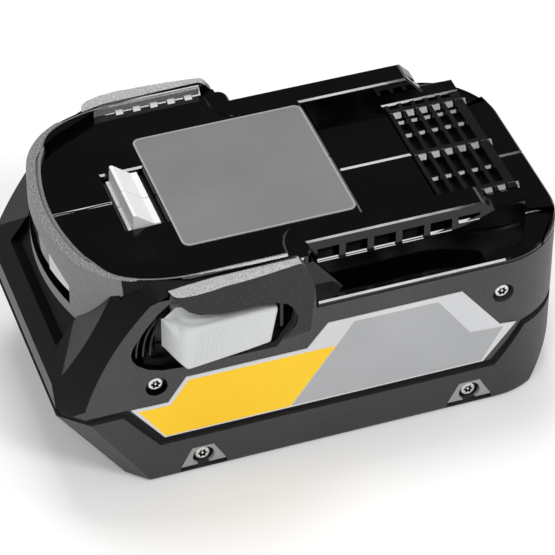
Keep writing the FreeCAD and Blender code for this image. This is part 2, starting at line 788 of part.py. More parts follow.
def rail_form(side):
    """One guide rail: an inner part on the neck and an overhanging lip with windows."""
    end, top = float(s.rail_end), float(s.plate_height)
    inner = [(-s.rail_nose, s.rail_lip_low), (-s.rail_nose, top), (end, top), (end + 6.5, top - 7.6)]
    shape = side_prism(inner, (side * s.channel_side, side * s.neck_side))
    lower = [(x, rail_low(x)) for x in (47.2, 43.0, 39.0, 35.0, 31.0, 26.0)]
    lip_points = [(-s.rail_nose, s.rail_lip_low), (-s.rail_nose, top), (end, top)] + lower
    shape = shape.fuse(side_prism(lip_points, (side * (s.neck_side - 0.5), side * s.rail_side)))
    window_span = (side * (s.rail_side - s.rail_window_depth), side * (s.rail_side + 1))
    for count in range(6):
        x = float(s.rail_window_first) + float(s.rail_window_pitch) * count
        half = float(s.rail_window_width) / 2
        low = [max(float(s.rail_window_low), rail_low(x + place) + 1.1) for place in (-half, half)]
        high = float(s.rail_window_high)
        window = [(x - half, low[0]), (x + half, low[1]), (x + half, high), (x - half, high)]
        shape = shape.cut(side_prism(window, window_span))
    return shape


wall = s.plate_thickness
deck_solid = plan_prism(rim_outline(float(s.rim_width) + float(s.fit_gap)), (plate_low, s.plate_height))
step_side = s.plate_side - 0.5
step_back = wall - s.step_wall_nose
step_wall = block((-s.step_wall_nose, step_back), (-step_side, step_side), (deck_low, s.plate_height))
bridge = block((-s.ear_tail - 0.5, step_back), (-step_side, step_side), (plate_low, s.plate_height))
tab_low = s.plate_height - s.tab_thickness
tab_middle = s.tab_side - s.tab_corner
tab_end = -s.tab_tail - s.tab_corner
tabs = [block((-s.step_wall_nose, tab_end), (-s.tab_side, s.tab_side), (tab_low, s.plate_height)),
        block((-s.step_wall_nose, -s.tab_tail), (-tab_middle, tab_middle), (tab_low, s.plate_height))]
tab_wall = [(-s.step_wall_nose, deck_low), (-s.step_wall_nose, tab_low), (-s.tab_tail, tab_low),
            (s.tab_wall_foot, s.deck_height), (s.tab_wall_foot, deck_low)]
for side_name, side in SIDES:
    corner = Vector(float(tab_end), side * float(tab_middle), float(tab_low))
    tabs.append(Part.makeCylinder(float(s.tab_corner), float(s.tab_thickness), corner))
    tab_wall_inner = s.tab_wall_side - s.tab_wall_thickness
    tabs.append(side_prism(tab_wall, (side * tab_wall_inner, side * s.tab_wall_side)))
platform_side = [(-s.step_wall_nose, deck_low), (-s.step_wall_nose, s.plate_height),
                 (s.platform_end, s.plate_height), (s.platform_foot, s.channel_height),
                 (s.neck_end, s.channel_height), (s.neck_end, deck_low)]
platform_inside = [(step_back, 0), (step_back, plate_low),
                   (s.platform_end - 1.1, plate_low), (s.platform_foot - 1.1, s.channel_height - wall),
                   (s.neck_end - wall, s.channel_height - wall), (s.neck_end - wall, 0)]
hollow = side_prism(platform_inside, (wall - s.neck_side, s.neck_side - wall))
tail_slab = plan_prism(case_outline(), (deck_low, s.deck_height))
slab_nose = block((-FAR, -s.hood_foot + s.fit_gap), (-FAR, FAR), (0, FAR))
slab_nose = slab_nose.cut(block((-s.step_wall_nose, FAR), (-step_side, step_side), (0, FAR)))
tail_slab = tail_slab.cut(slab_nose)
apron = plan_prism(case_outline(), (deck_low, s.deck_height + s.apron_rise))
apron = apron.common(block((s.neck_end, FAR), (-s.apron_side, s.apron_side), (0, FAR)))
deck_solid = deck_solid.fuse([step_wall, bridge, side_prism(platform_side, (-s.neck_side, s.neck_side)),
                              tail_slab, apron, rail_form(1), rail_form(-1)] + tabs)
deck_solid = deck_solid.cut(hollow)
edge_nose = RIM_FRONT - half_length + s.rim_width + RIM_FLANK_END
for side_name, side in SIDES:
    ramp = [(side * (deck_edge - s.edge_foot), s.plate_height), (side * deck_edge, s.plate_height),
            (side * deck_edge, s.plate_height + s.edge_rise)]
    deck_solid = deck_solid.fuse(end_prism(ramp, (edge_nose, -s.ear_tail)))
    for count in range(5):
        x = s.ear_window_first + s.ear_window_pitch * count
        across = (x - s.ear_window_width / 2, x + s.ear_window_width / 2)
        pocket_span = (side * (deck_edge - s.edge_foot - 1), side * (deck_edge - 0.4))
        pocket = block(across, pocket_span, (s.plate_height, s.plate_height + s.ear_window_height))
        deck_solid = deck_solid.cut(pocket)
grille_hole = block((s.terminal_nose - s.fit_gap, s.neck_end + 1), (-s.terminal_side - s.fit_gap,
                    s.terminal_side + s.fit_gap), (s.deck_height + s.apron_rise, FAR))
grille_hole = grille_hole.fuse(block((s.terminal_nose - s.fit_gap, s.neck_end - wall),
                               (-s.terminal_side - s.fit_gap, s.terminal_side + s.fit_gap), (0, FAR)))
deck_solid = deck_solid.cut(grille_hole)
hole_side = s.latch_side + 0.7
latch_hole = block((-s.latch_nose - 0.8, -latch_tail + 1.5), (-hole_side, hole_side), (s.latch_low, FAR))
deck_solid = deck_solid.cut(latch_hole)
for side_name, side in SIDES:
    half_space = block((-FAR, FAR), (0, side * FAR), (0, FAR))
    made("deck_" + side_name, deck_solid.common(half_space).removeSplitter())


# Release buttons and their guides

# A button's ends along the pack, and its side view (X, Z) above the lower edge
BUTTON_NOSE, BUTTON_CORNER, BUTTON_TAIL = -41.2, -35.3, -12.0
BUTTON_TOP = [(-12.3, 48.9), (-34.0, 51.0), (-41.2, 52.0), (-41.2, 42.0)]
GROOVE_FIRST, GROOVE_PITCH, GROOVE_WIDTH, GROOVE_DEPTH = -32.6, 1.55, 0.6, 0.35
RISER_THICKNESS = 2.2
HUMP_ENDS = (-38.9, -31.0)
HUMP_FOOT, HUMP_HEIGHT = 3.4, 51.2

button_face = ((BUTTON_CORNER, float(s.button_nose_side)), (-24.0, float(s.button_nose_side) - 0.7),
               (BUTTON_TAIL, float(s.button_tail_side)))
face_circle = arc(*button_face).Curve


def button_outline(side):
    """A button in plan: a cheek that curves out to the nose, and a gently bowed face."""
    back = float(button_back)
    cheek = [(BUTTON_NOSE, back), (-39.6, 0.4 * back + 0.6 * button_face[0][1]), button_face[0]]
    edges = [arc(*[(x, side * y) for x, y in cheek]), arc(*[(x, side * y) for x, y in button_face])]
    edges.append(line((BUTTON_TAIL, side * button_face[2][1]), (BUTTON_TAIL, side * back)))
    edges.append(line((BUTTON_TAIL, side * back), (BUTTON_NOSE, side * back)))
    return edges


def face_place(x):
    """How far out the button's face lies at a place along the pack."""
    return face_circle.Center.y + math.sqrt(face_circle.Radius ** 2 - (x - face_circle.Center.x) ** 2)


def button_form(side):
    """One release button with its arm and cam."""
    side_view = [(-36.6, s.button_low), (-14.3, s.button_low)] + BUTTON_TOP
    shape = plan_prism(button_outline(side), (0, FAR)).common(side_prism(side_view, (-FAR, FAR)))
    under = plan_prism(button_outline(side), (0, s.button_skirt_top))
    under.translate(Vector(0, -side * float(s.button_skirt), 0))
    shape = shape.cut(under)
    for count in range(5):
        x = GROOVE_FIRST + GROOVE_PITCH * count
        depth = face_place(x) - GROOVE_DEPTH
        groove_span = (x - GROOVE_WIDTH / 2, x + GROOVE_WIDTH / 2)
        shape = shape.cut(block(groove_span, (side * depth, side * (depth + 2)), (0, FAR)))
    arm_span = (-arm_nose, -arm_tail)
    root = button_back + RISER_THICKNESS
    riser = block(arm_span, (side * button_back, side * root), (s.button_skirt_top, s.arm_high))
    reach = s.cam_sum + s.cam_gap
    arm = [(side * root, s.arm_low), (side * (reach - s.arm_low), s.arm_low),
           (side * (reach - s.arm_high), s.arm_high), (side * root, s.arm_high)]
    hump = [(side * button_back, s.button_skirt_top), (side * (button_back + HUMP_FOOT), s.button_skirt_top),
            (side * (button_back + HUMP_FOOT), HUMP_HEIGHT), (side * (button_back + 1), s.arm_high),
            (side * button_back, s.arm_high)]
    return shape.fuse([riser, end_prism(hump, HUMP_ENDS), end_prism(arm, arm_span)])


# The guide wall in side view, its arm window and the upright fins at its nose end
GUIDE_ENDS = (-50.0, -7.0)
GUIDE_SHOULDERS = [(-50.0, 46.0), (-43.0, plate_low - 0.3)]
ARM_GAP = 0.4
FIN_FIRST, FIN_PITCH, FIN_WIDTH = -48.4, 1.9, 0.9
FIN_FOOT, FIN_HEIGHT, FIN_REACH = 41.0, 3.5, 3.5
POST_ENDS, POST_REACH, POST_HEIGHT = (-11.2, -10.3), 4.6, 49.0

guide_low = holder_height + 0.3
guide_view = [(GUIDE_ENDS[0], guide_low)] + GUIDE_SHOULDERS
guide_view += [(GUIDE_ENDS[1], plate_low - 0.3), (GUIDE_ENDS[1], guide_low)]
for side_name, side in SIDES:
    made("release_button_" + side_name, button_form(side).removeSplitter())
    guide = side_prism(guide_view, (side * s.guide_side, side * guide_face))
    guide_span = (side * (s.guide_side - 1), side * (guide_face + 1))
    guide = guide.cut(block((-arm_nose - ARM_GAP, ARM_GAP - arm_tail), guide_span,
                            (s.arm_low - ARM_GAP, s.arm_high + ARM_GAP)))
    for count in range(4):
        x = FIN_FIRST + FIN_PITCH * count
        top = FIN_FOOT + FIN_HEIGHT + FIN_PITCH * count
        fin_span = (side * (guide_face - 0.4), side * (guide_face + FIN_REACH))
        guide = guide.fuse(block((x, x + FIN_WIDTH), fin_span, (FIN_FOOT, top)))
    post_span = (side * (guide_face - 0.4), side * (guide_face + POST_REACH))
    guide = guide.fuse(block(POST_ENDS, post_span, (guide_low, POST_HEIGHT)))
    made("button_guide_" + side_name, guide.removeSplitter())


# Latch halves, their carrier and springs

latch_head = [(-s.latch_nose, s.latch_head_low), (-s.latch_nose, s.latch_ledge),
              (0.9 - s.latch_nose, s.latch_ledge), (1.1 - s.latch_nose, s.latch_ridge),
              (1.9 - s.latch_nose, s.latch_ridge), (-latch_tail - 1.7, s.latch_toe),
              (-latch_tail, s.latch_toe), (-latch_tail, s.latch_head_low)]
carrier_low = holder_height + s.fit_gap
spring_seat = carrier_low + s.carrier_floor

# Rise of the slanted cam on a latch's wing, and half widths of the carrier's floor and walls
CAM_HEIGHT = 2.0
CARRIER_FLOOR_SIDE = 15.0
CARRIER_WALL_SIDE = 10.8


def latch_form(side):
    """One half of the latch: ramped head, column, and a wing with a slanted cam."""
    inner, column = s.latch_split / 2, s.latch_column_side
    shape = side_prism(latch_head, (side * inner, side * s.latch_side))
    shape = shape.fuse(block((-s.latch_nose, -latch_tail), (side * inner, side * column),
                             (s.latch_low, s.latch_head_low)))
    tip = s.latch_wing_side
    wing_top = s.cam_sum - tip + CAM_HEIGHT
    wing = [(side * (column - 0.5), s.latch_low), (side * tip, s.latch_low), (side * tip, s.cam_sum - tip),
            (side * (tip - CAM_HEIGHT), wing_top), (side * (column - 0.5), wing_top)]
    return shape.fuse(end_prism(wing, (-arm_nose - ARM_GAP, ARM_GAP - arm_tail)))


def round_span(start, start_way, end, end_way):
    """Two arcs that meet smoothly, from one point and direction to another."""
    chord, ways = end - start, start_way + end_way
    bend = 2 * (1 - start_way.dot(end_way))
    lean = chord.dot(ways)
    reach = (math.sqrt(lean ** 2 + bend * chord.dot(chord)) - lean) / bend
    meeting = (start + end + (start_way - end_way) * reach) * 0.5
    arcs = []
    corners = (start + start_way * reach, end - end_way * reach)
    for first, second, corner in ((start, meeting, corners[0]), (meeting, end, corners[1])):
        middle = (first + second) * 0.5
        half, height = (second - first).Length / 2, (corner - middle).Length
        top = middle + (corner - middle) * (half * math.tan(math.atan(height / half) / 2) / height)
        arcs.append(Part.Arc(first, top, second).toShape())
    return arcs


def spring_form(side):
    """A coil spring under a latch half: a round wire run up a helix, a quarter turn at a time."""
    wire, turns = float(s.spring_wire) / 2, float(s.spring_turns)
    bottom = float(spring_seat) + wire
    height = float(s.latch_low) - wire - bottom
    radius = float(s.spring_radius) - wire
    middle = (s.latch_split / 2 + s.latch_column_side) / 2
    place = Vector(float(-s.latch_nose - latch_tail) / 2, side * float(middle), bottom)
    climb = height / (turns * 2 * math.pi)
    stops = []
    for count in range(int(round(turns * 4)) + 1):
        angle = count * math.pi / 2
        point = place + Vector(radius * math.cos(angle), radius * math.sin(angle), climb * angle)
        way = Vector(-radius * math.sin(angle), radius * math.cos(angle), climb).normalize()
        stops.append((point, way))
    arcs = []
    for (start, start_way), (end, end_way) in zip(stops, stops[1:]):
        arcs += round_span(start, start_way, end, end_way)
    circle = Part.Wire(Part.Circle(stops[0][0], stops[0][1], wire).toShape())
    return Part.Wire(arcs).makePipeShell([circle], True, False)


for side_name, side in SIDES:
    made("latch_" + side_name, latch_form(side).removeSplitter())
    made("latch_spring_" + side_name, spring_form(side))
carrier_nose = s.latch_nose + s.latch_guide_gap
carrier_tail = latch_tail - s.latch_guide_gap
carrier_span = (-carrier_nose - s.carrier_wall, s.carrier_wall - carrier_tail)
carrier_floor = box("carrier_floor_plate", carrier_span, (-CARRIER_FLOOR_SIDE, CARRIER_FLOOR_SIDE),
                    (carrier_low, spring_seat))
carrier_walls = []
for place, span in (("nose", (-carrier_nose - s.carrier_wall, -carrier_nose)),
                    ("tail", (-carrier_tail, s.carrier_wall - carrier_tail))):
    carrier_walls.append(box("carrier_wall_" + place, span, (-CARRIER_WALL_SIDE, CARRIER_WALL_SIDE),
                             (carrier_low, plate_low - s.fit_gap)))
node(fuse("latch_carrier", [carrier_floor] + carrier_walls), "latch_carrier")


# Labels

# The side label's outline in side view
SIDE_LABEL = [(-50.3, 26.2), (-40.8, 26.0), (-36.0, 33.1), (-4.7, 33.1), (0.7, 40.0), (36.1, 40.0),
              (46.9, 26.0), (51.3, 25.6), (42.8, 14.6), (-41.9, 14.6)]
for side_name, side in SIDES:
    label = side_prism(SIDE_LABEL, (side * half_width, side * (half_width + s.label_thickness)))
    made("side_label_" + side_name, label)
top_label = block((-s.top_label_nose, s.top_label_tail), (-s.top_label_side, s.top_label_side),
                  (s.plate_height, s.plate_height + s.label_thickness))
corner_edges = [edge for edge in top_label.Edges if abs(edge.tangentAt(edge.FirstParameter).z) > 0.9]
made("top_label", top_label.makeFillet(float(s.top_label_corner), corner_edges))


# Screws and their plates


def screws(label, places):
    """Four alike screws, two on each side, each a pan head and a shank."""
    parts = []
    for side_name, side in SIDES:
        for count, (x, z) in enumerate(places, start=1):
            name = "%s_%s_%d" % (label, side_name, count)
            face = side * (half_width - s.screw_recess)
            under_head = side * (half_width - s.screw_recess - s.screw_head_height)
            head = rod(name + "_head", x, z, s.screw_head_radius, (under_head, face))
            shank = rod(name + "_shank", x, z, s.screw_shank_radius, (side * s.screw_tip, under_head))
            parts.append(fuse(name, [head, shank]))
    return node(group(label, parts), label)


screws("housing_screws", UPPER_SCREWS)
screws("tray_screws", LOWER_SCREWS)
seat_shapes = []
for side_name, side in SIDES:
    for x, z in LOWER_SCREWS:
        seat_shapes.append(seat_plate(x, side, 0, 0).cut(screw_recess(x, z, side)))
made("screw_seat_plates", Part.makeCompound(seat_shapes))


# Cells

for number in range(10):
    column, row_index = number // 2, number % 2
    flip = 1 if column % 2 == 0 else -1
    x, z = cell_columns[column], cell_rows[row_index]
    name = "cell_%02d" % (number + 1)
    can = rod(name + "_can", x, z, s.cell_radius, (-flip * cell_end, flip * (cell_end - s.cell_cap)))
    cap = rod(name + "_cap", x, z, s.cell_cap_radius, (flip * (cell_end - s.cell_cap), flip * cell_end))
    node(fuse(name, [can, cap]), name)

# Cell holders, end covers and bus strips


# How far a bus strip reaches past the cell rows, and the height of its link to the board
STRIP_REACH, STRIP_LINK = 4.0, 6.6


def strip_ends(side):
    """First and last cell column that each bus strip of one side joins."""
    if side > 0:
        return ((0, 0), (1, 2), (3, 4))
    return ((0, 1), (2, 3), (4, 4))


for side_name, side in SIDES:
    name = "cell_holder_" + side_name
    slab = box(name + "_slab", (holder_nose, holder_tail), (side * s.holder_inner, side * holder_outer),
               (s.case_wall, holder_height))
    holes = []
    hole_span = (side * (s.holder_inner - 1), side * (holder_outer + 1))
    hole_radius = s.cell_radius + s.cell_clearance
    for column, x in enumerate(cell_columns):
        for row_index, z in enumerate(cell_rows):
            holes.append(rod("%s_hole_%d_%d" % (name, column, row_index), x, z, hole_radius, hole_span))
    pierced = cut(name + "_pierced", slab, holes)
    posts = []
    post_span = (side * (s.board_side - 4), side * s.board_side)
    for count, x in enumerate((s.board_nose + 4, s.board_tail - 8), start=1):
        post_rise = (holder_height - 0.5, board_low)
        posts.append(box("%s_post_%d" % (name, count), (x, x + 5), post_span, post_rise))
    node(fuse(name, [pierced] + posts), name)

    name = "end_cover_" + side_name
    cover_outer = cover_inner + s.cover_thickness
    sheet_span = (side * cover_inner, side * cover_outer)
    parts = [box(name + "_plate", (holder_nose, cover_tail), sheet_span, (s.case_wall, s.cover_height))]
    x, z = UPPER_SCREWS[1]
    parts.append(box(name + "_tab", (x - 4, x + 4), sheet_span, (30, z + s.boss_radius)))
    parts.append(box(name + "_nose_edge", (holder_nose - s.cover_thickness, holder_nose + 1),
                     (side * holder_outer, side * cover_outer), (s.case_wall, s.cover_height)))
    holes = []
    boss_span = (side * cover_inner, side * (inner_side - s.boss_seat - s.fit_gap))
    bore_span = (side * (cover_inner - 1), side * half_width)
    for count, (x, z) in enumerate(UPPER_SCREWS + LOWER_SCREWS, start=1):
        parts.append(rod("%s_boss_%d" % (name, count), x, z, s.boss_radius, boss_span))
        holes.append(rod("%s_bore_%d" % (name, count), x, z, s.screw_shank_radius, bore_span))
    node(cut(name, fuse(name + "_body", parts), holes), name)

    name = "bus_strips_" + side_name
    strips = []
    strip_span = (side * cell_end, side * (cell_end + s.strip_thickness))
    strip_low, strip_high = cell_rows[0] - STRIP_REACH, cell_rows[1] + STRIP_REACH
    link_low = strip_high - STRIP_LINK
    for count, (first, last) in enumerate(strip_ends(side), start=1):
        start, stop = cell_columns[first] - 4, cell_columns[last] + 4
        pieces = [box("%s_%d_plate" % (name, count), (start, stop), strip_span, (strip_low, strip_high))]
        leg_top = s.strip_thickness
        if count == 1:
            run = (cell_columns[0] + 4, cell_columns[0] + 7)
            low = holder_height
            pieces.append(box("%s_link" % name, (cell_columns[0], run[1]), strip_span, (link_low, strip_high)))
            pieces.append(box("%s_rise" % name, run, strip_span, (link_low, low + leg_top)))
            lead_span = (side * (s.holder_inner - 2), side * (s.holder_inner + 1))
            across_span = (lead_span[0], strip_span[1])
            pieces.append(box("%s_across" % name, run, across_span, (low, low + leg_top)))
            pieces.append(box("%s_along" % name, (run[0], s.board_nose), lead_span, (low, low + leg_top)))
            lead_end = (s.board_nose - leg_top, s.board_nose)
            pieces.append(box("%s_up" % name, lead_end, lead_span, (low, board_high)))
        else:
            run = (cell_columns[last] - 1.5, cell_columns[last] + 1.5)
            rise = (strip_high - 4, board_high + leg_top)
            pieces.append(box("%s_%d_rise" % (name, count), run, strip_span, rise))
            tab_span = (side * (s.board_side - 2), strip_span[1])
            top_span = (board_high, board_high + leg_top)
            pieces.append(box("%s_%d_across" % (name, count), run, tab_span, top_span))
        strips.append(fuse("%s_%d" % (name, count), pieces))
    node(group(name, strips), name)

# Temperature sensor between four cells
sensor_x = s.cell_first + s.cell_pitch * 2.5
sensor_z = s.cell_row_low + s.cell_pitch / 2
node(rod("temperature_sensor", sensor_x, sensor_z, 3.7, (-6.0, 6.0)), "temperature_sensor")


# Circuit board and terminals

board = box("protection_board", (s.board_nose, s.board_tail), (-s.board_side, s.board_side),
            (board_low, board_high))
node(board, "protection_board")
transistors = []
package = (board_high, board_high + 2.3)
for count in range(4):
    x = 2.0 + 7.5 * count
    transistors.append(box("transistor_%d" % (count + 1), (x, x + 5), (-4.0, 2.5), package))
node(group("board_transistors", transistors), "board_transistors")

terminal_tail = s.neck_end - s.fit_gap
terminal_low = board_high + s.fit_gap
upper_block = box("terminal_upper", (s.terminal_nose, terminal_tail), (-s.terminal_side, s.terminal_side),
                  (s.deck_height + s.apron_rise + s.fit_gap, s.channel_height))
lower_block = box("terminal_lower", (s.terminal_nose, s.neck_end - wall - s.fit_gap),
                  (-s.terminal_side, s.terminal_side), (terminal_low, s.channel_height - 2))
terminal_body = fuse("terminal_body", [upper_block, lower_block])
gaps = []
rib_half = s.rib_width / 2
bands = ((rib_half, s.rib_side - rib_half), (s.rib_side + rib_half, s.terminal_side + 1))
gap_height = (s.channel_height - s.fin_depth, s.channel_height + 1)
gap_count = int(round(float(s.fin_count))) - 1
for count in range(gap_count):
    start = s.terminal_nose + s.fin_width + s.fin_pitch * count
    gap_run = (start, start + s.fin_pitch - s.fin_width)
    for number, band in enumerate(bands):
        for side_name, side in SIDES:
            name = "grille_gap_%d_%d_%s" % (count, number, side_name)
            gaps.append(box(name, gap_run, (side * band[0], side * band[1]), gap_height))
slots = []
slot_places = (("plus", s.power_slot_side), ("minus", -s.power_slot_side),
               ("data", s.signal_slot_side), ("heat", -s.signal_slot_side))
contacts = {}
reach = s.slot_width / 2
inner = reach - 0.1
foot_run = (s.slot_root, s.slot_root + 3.2)
base_run = (s.slot_root + 0.2, s.slot_root + 3.0)
leaf_run = (s.slot_root + 0.2, s.neck_end - 1.5)
leaf_height = (s.slot_low + 0.2, s.slot_high - 0.2)
for name, y in slot_places:
    across = (y - reach, y + reach)
    slots.append(box("slot_" + name, (s.slot_root, s.neck_end + 1), across, (s.slot_low, s.slot_high)))
    slots.append(box("slot_foot_" + name, foot_run, across, (terminal_low - 1, s.slot_high)))
    parts = [box("contact_base_" + name, base_run, (y - inner, y + inner), (board_high, s.slot_high - 0.2))]
    for count, turn in enumerate((-1, 1)):
        leaf_span = (y + turn * inner, y + turn * (inner - s.leaf_thickness))
        parts.append(box("contact_leaf_%s_%d" % (name, count), leaf_run, leaf_span, leaf_height))
    contacts[name] = fuse("contact_" + name, parts)
node(cut("terminal_block", terminal_body, gaps + slots), "terminal_block")
node(contacts["plus"], "power_contact_positive")
node(contacts["minus"], "power_contact_negative")
node(group("signal_contacts", [contacts["data"], contacts["heat"]]), "signal_contacts")


# Check every object, then write each piece

doc.recompute()
for item in doc.Objects:
    if "Invalid" in item.State or "Error" in item.State:
        raise RuntimeError("%s did not rebuild: %s" % (item.Name, item.State))
os.makedirs("parts", exist_ok=True)
for item in nodes:
    if item.Shape.isNull() or not item.Shape.isValid():
        raise RuntimeError("%s has no valid shape" % item.Label)
    item.Shape.exportStep("parts/%s.step" % item.Label)
    print("%-26s %2d solids %10.1f mm3" % (item.Label, len(item.Shape.Solids), item.Shape.Volume))
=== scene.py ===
import logging
import math
from dataclasses import dataclass, field
from enum import Enum, IntEnum
from typing import Callable, Dict, List, Optional, Sequence, Tuple

import bmesh
import bpy
import numpy as np
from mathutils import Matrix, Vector


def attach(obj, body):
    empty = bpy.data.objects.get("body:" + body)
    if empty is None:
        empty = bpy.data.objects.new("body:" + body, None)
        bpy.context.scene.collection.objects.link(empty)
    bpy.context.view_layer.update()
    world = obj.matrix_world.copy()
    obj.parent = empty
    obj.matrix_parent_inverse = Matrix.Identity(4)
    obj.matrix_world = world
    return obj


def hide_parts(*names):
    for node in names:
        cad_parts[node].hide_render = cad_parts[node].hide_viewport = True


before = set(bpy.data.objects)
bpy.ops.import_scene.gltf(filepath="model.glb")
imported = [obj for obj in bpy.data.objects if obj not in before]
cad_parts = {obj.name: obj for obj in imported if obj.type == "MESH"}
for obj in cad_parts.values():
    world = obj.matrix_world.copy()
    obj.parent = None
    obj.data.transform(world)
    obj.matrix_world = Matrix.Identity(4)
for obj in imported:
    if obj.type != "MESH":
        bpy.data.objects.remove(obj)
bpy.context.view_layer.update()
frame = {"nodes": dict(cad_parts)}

MM = 0.001
SHARP_DEG = 28.0  # edges that turn more than this are rounded or broken
log = logging.getLogger("battery")

Point = Tuple[float, float, float]
Colour = Tuple[float, float, float, float]
Part = Tuple[np.ndarray, Sequence[Sequence[int]], int]  # points in mm, faces, material number


class Side(Enum):
    """The two sides of the pack, by the sign of their Y."""

    LEFT = 1
    RIGHT = -1

    @property
    def word(self) -> str:
        """The side's name in the frame's node names."""
        return self.name.lower()


class Body(Enum):
    """The frame's bodies that pieces ride on."""

    CASE = "case"
    LEFT_BUTTON = "left_button"
    RIGHT_BUTTON = "right_button"
    LEFT_LATCH = "left_latch"
    RIGHT_LATCH = "right_latch"
    CHECK_KEY = "check_key"


# Colour and shader nodes


def linear(code: str) -> Colour:
    """Turn an sRGB hex colour into linear light.

    Args:
        code: The colour as six hex digits after a hash.

    Returns:
        Red, green, blue and a full alpha.
    """
    shares = [int(code[place:place + 2], 16) / 255 for place in (1, 3, 5)]
    light = [v / 12.92 if v <= 0.04045 else ((v + 0.055) / 1.055) ** 2.4 for v in shares]
    return (light[0], light[1], light[2], 1.0)


def add_node(tree: bpy.types.NodeTree, kind: str, settings: Optional[dict] = None,
             links: Optional[dict] = None) -> bpy.types.Node:
    """Add one shader node with its settings and its incoming links.

    Args:
        tree: The node tree that gets the node.
        kind: The node's type name.
        settings: Socket values by input name or number, and properties by name.
        links: Source sockets by input name or number.

    Returns:
        The new node.
    """
    made = tree.nodes.new(kind)
    for key, value in (settings or {}).items():
        if isinstance(key, str) and hasattr(made, key):
            setattr(made, key, value)
    for key, value in (settings or {}).items():
        if not (isinstance(key, str) and hasattr(made, key)):
            made.inputs[key].default_value = value
    for key, source in (links or {}).items():
        tree.links.new(source, made.inputs[key])
    return made


def empty_material(name: str) -> Tuple[bpy.types.Material, bpy.types.NodeTree, bpy.types.Node]:
    """Make a material with only an output node.

    Args:
        name: The material's name.

    Returns:
        The material, its node tree and its output node.
    """
    material = bpy.data.materials.new(name)
    material.use_nodes = True
    tree = material.node_tree
    tree.nodes.clear()
    return material, tree, add_node(tree, "ShaderNodeOutputMaterial")


def per_metre(size_mm: float) -> float:
    """Scale of a texture whose features are about this many millimetres wide."""
    return 1.0 / (size_mm * MM)


@dataclass(frozen=True)
class Moulding:
    """Injection-moulded thermoplastic, with the texture that its mould gives it.

    The tone drifts a little where the melt flowed. The grain breaks the highlight. A pale colour for faces that
    look up is a painted sheen: the light from above, painted into the colour of the tops.
    """

    name: str
    colour: str
    drift: str
    roughness: float
    drift_mm: float = 22.0
    grain_mm: float = 0.5
    grain_depth_mm: float = 0.01
    speckle: Optional[str] = None
    speckle_share: float = 0.5
    painted_top_sheen: Optional[str] = None
    specular: float = 0.5
    smudge: float = 0.04
    smudge_mm: float = 9.0

    def build(self) -> bpy.types.Material:
        """Make the material: tone drift, speckle, pale tops as a painted sheen, smudges in the gloss and mould
        grain.
        """
        material, tree, output = empty_material(self.name)
        place = add_node(tree, "ShaderNodeTexCoord")
        spot = place.outputs["Object"]
        drift = add_node(tree, "ShaderNodeTexNoise", {"Scale": per_metre(self.drift_mm), "Detail": 3.0},
                         {"Vector": spot})
        share = add_node(tree, "ShaderNodeMapRange", {"From Min": 0.35, "From Max": 0.65},
                         {"Value": drift.outputs["Fac"]})
        tone = add_node(tree, "ShaderNodeMix",
                        {"data_type": "RGBA", 6: linear(self.colour), 7: linear(self.drift)},
                        {0: share.outputs["Result"]})
        colour = tone.outputs[2]
        grain = add_node(tree, "ShaderNodeTexNoise", {"Scale": per_metre(self.grain_mm), "Detail": 2.0},
                         {"Vector": spot})
        # Faces that look up turn to the pale colour: a painted sheen of the light from above.
        if self.painted_top_sheen:
            upright = add_node(tree, "ShaderNodeSeparateXYZ", None, {0: place.outputs["Normal"]})
            facing = add_node(tree, "ShaderNodeMapRange", {"From Min": 0.45, "From Max": 0.95},
                              {"Value": upright.outputs["Z"]})
            sheened_tone = add_node(tree, "ShaderNodeMix", {"data_type": "RGBA", 7: linear(self.painted_top_sheen)},
                            {0: facing.outputs["Result"], 6: colour})
            colour = sheened_tone.outputs[2]
        if self.speckle:
            dots = add_node(tree, "ShaderNodeMapRange",
                            {"From Min": 0.44, "From Max": 0.6, "To Max": self.speckle_share},
                            {"Value": grain.outputs["Fac"]})
            flecked = add_node(tree, "ShaderNodeMix", {"data_type": "RGBA", 7: linear(self.speckle)},
                               {0: dots.outputs["Result"], 6: colour})
            colour = flecked.outputs[2]
        smudges = add_node(tree, "ShaderNodeTexNoise", {"Scale": per_metre(self.smudge_mm), "Detail": 4.0},
                           {"Vector": spot})
        gloss = add_node(tree, "ShaderNodeMapRange",
                         {"From Min": 0.4, "From Max": 0.7, "To Min": self.roughness,
                          "To Max": self.roughness + self.smudge}, {"Value": smudges.outputs["Fac"]})
        bump = add_node(tree, "ShaderNodeBump", {"Strength": 1.0, "Distance": self.grain_depth_mm * MM},
                        {"Height": grain.outputs["Fac"]})
        shader = add_node(tree, "ShaderNodeBsdfPrincipled", {"Specular IOR Level": self.specular},
                          {"Base Color": colour, "Roughness": gloss.outputs["Result"],
                           "Normal": bump.outputs["Normal"]})
        tree.links.new(shader.outputs["BSDF"], output.inputs["Surface"])
        return material


@dataclass(frozen=True)
class Metal:
    """Plated or bare metal with fine marks from rolling or turning, which spread its highlight."""

    name: str
    colour: str
    roughness: float
    mark_mm: float = 0.25
    mark_depth_mm: float = 0.004

    def build(self) -> bpy.types.Material:
        """Make the material: a metal with small marks and patches of roughness."""
        material, tree, output = empty_material(self.name)
        spot = add_node(tree, "ShaderNodeTexCoord").outputs["Object"]
        marks = add_node(tree, "ShaderNodeTexNoise", {"Scale": per_metre(self.mark_mm), "Detail": 3.0},
                         {"Vector": spot})
        patches = add_node(tree, "ShaderNodeMapRange",
                           {"To Min": self.roughness - 0.06, "To Max": self.roughness + 0.1},
                           {"Value": marks.outputs["Fac"]})
        bump = add_node(tree, "ShaderNodeBump", {"Strength": 1.0, "Distance": self.mark_depth_mm * MM},
                        {"Height": marks.outputs["Fac"]})
        shader = add_node(tree, "ShaderNodeBsdfPrincipled",
                          {"Base Color": linear(self.colour), "Metallic": 1.0},
                          {"Roughness": patches.outputs["Result"], "Normal": bump.outputs["Normal"]})
        tree.links.new(shader.outputs["BSDF"], output.inputs["Surface"])
        return material


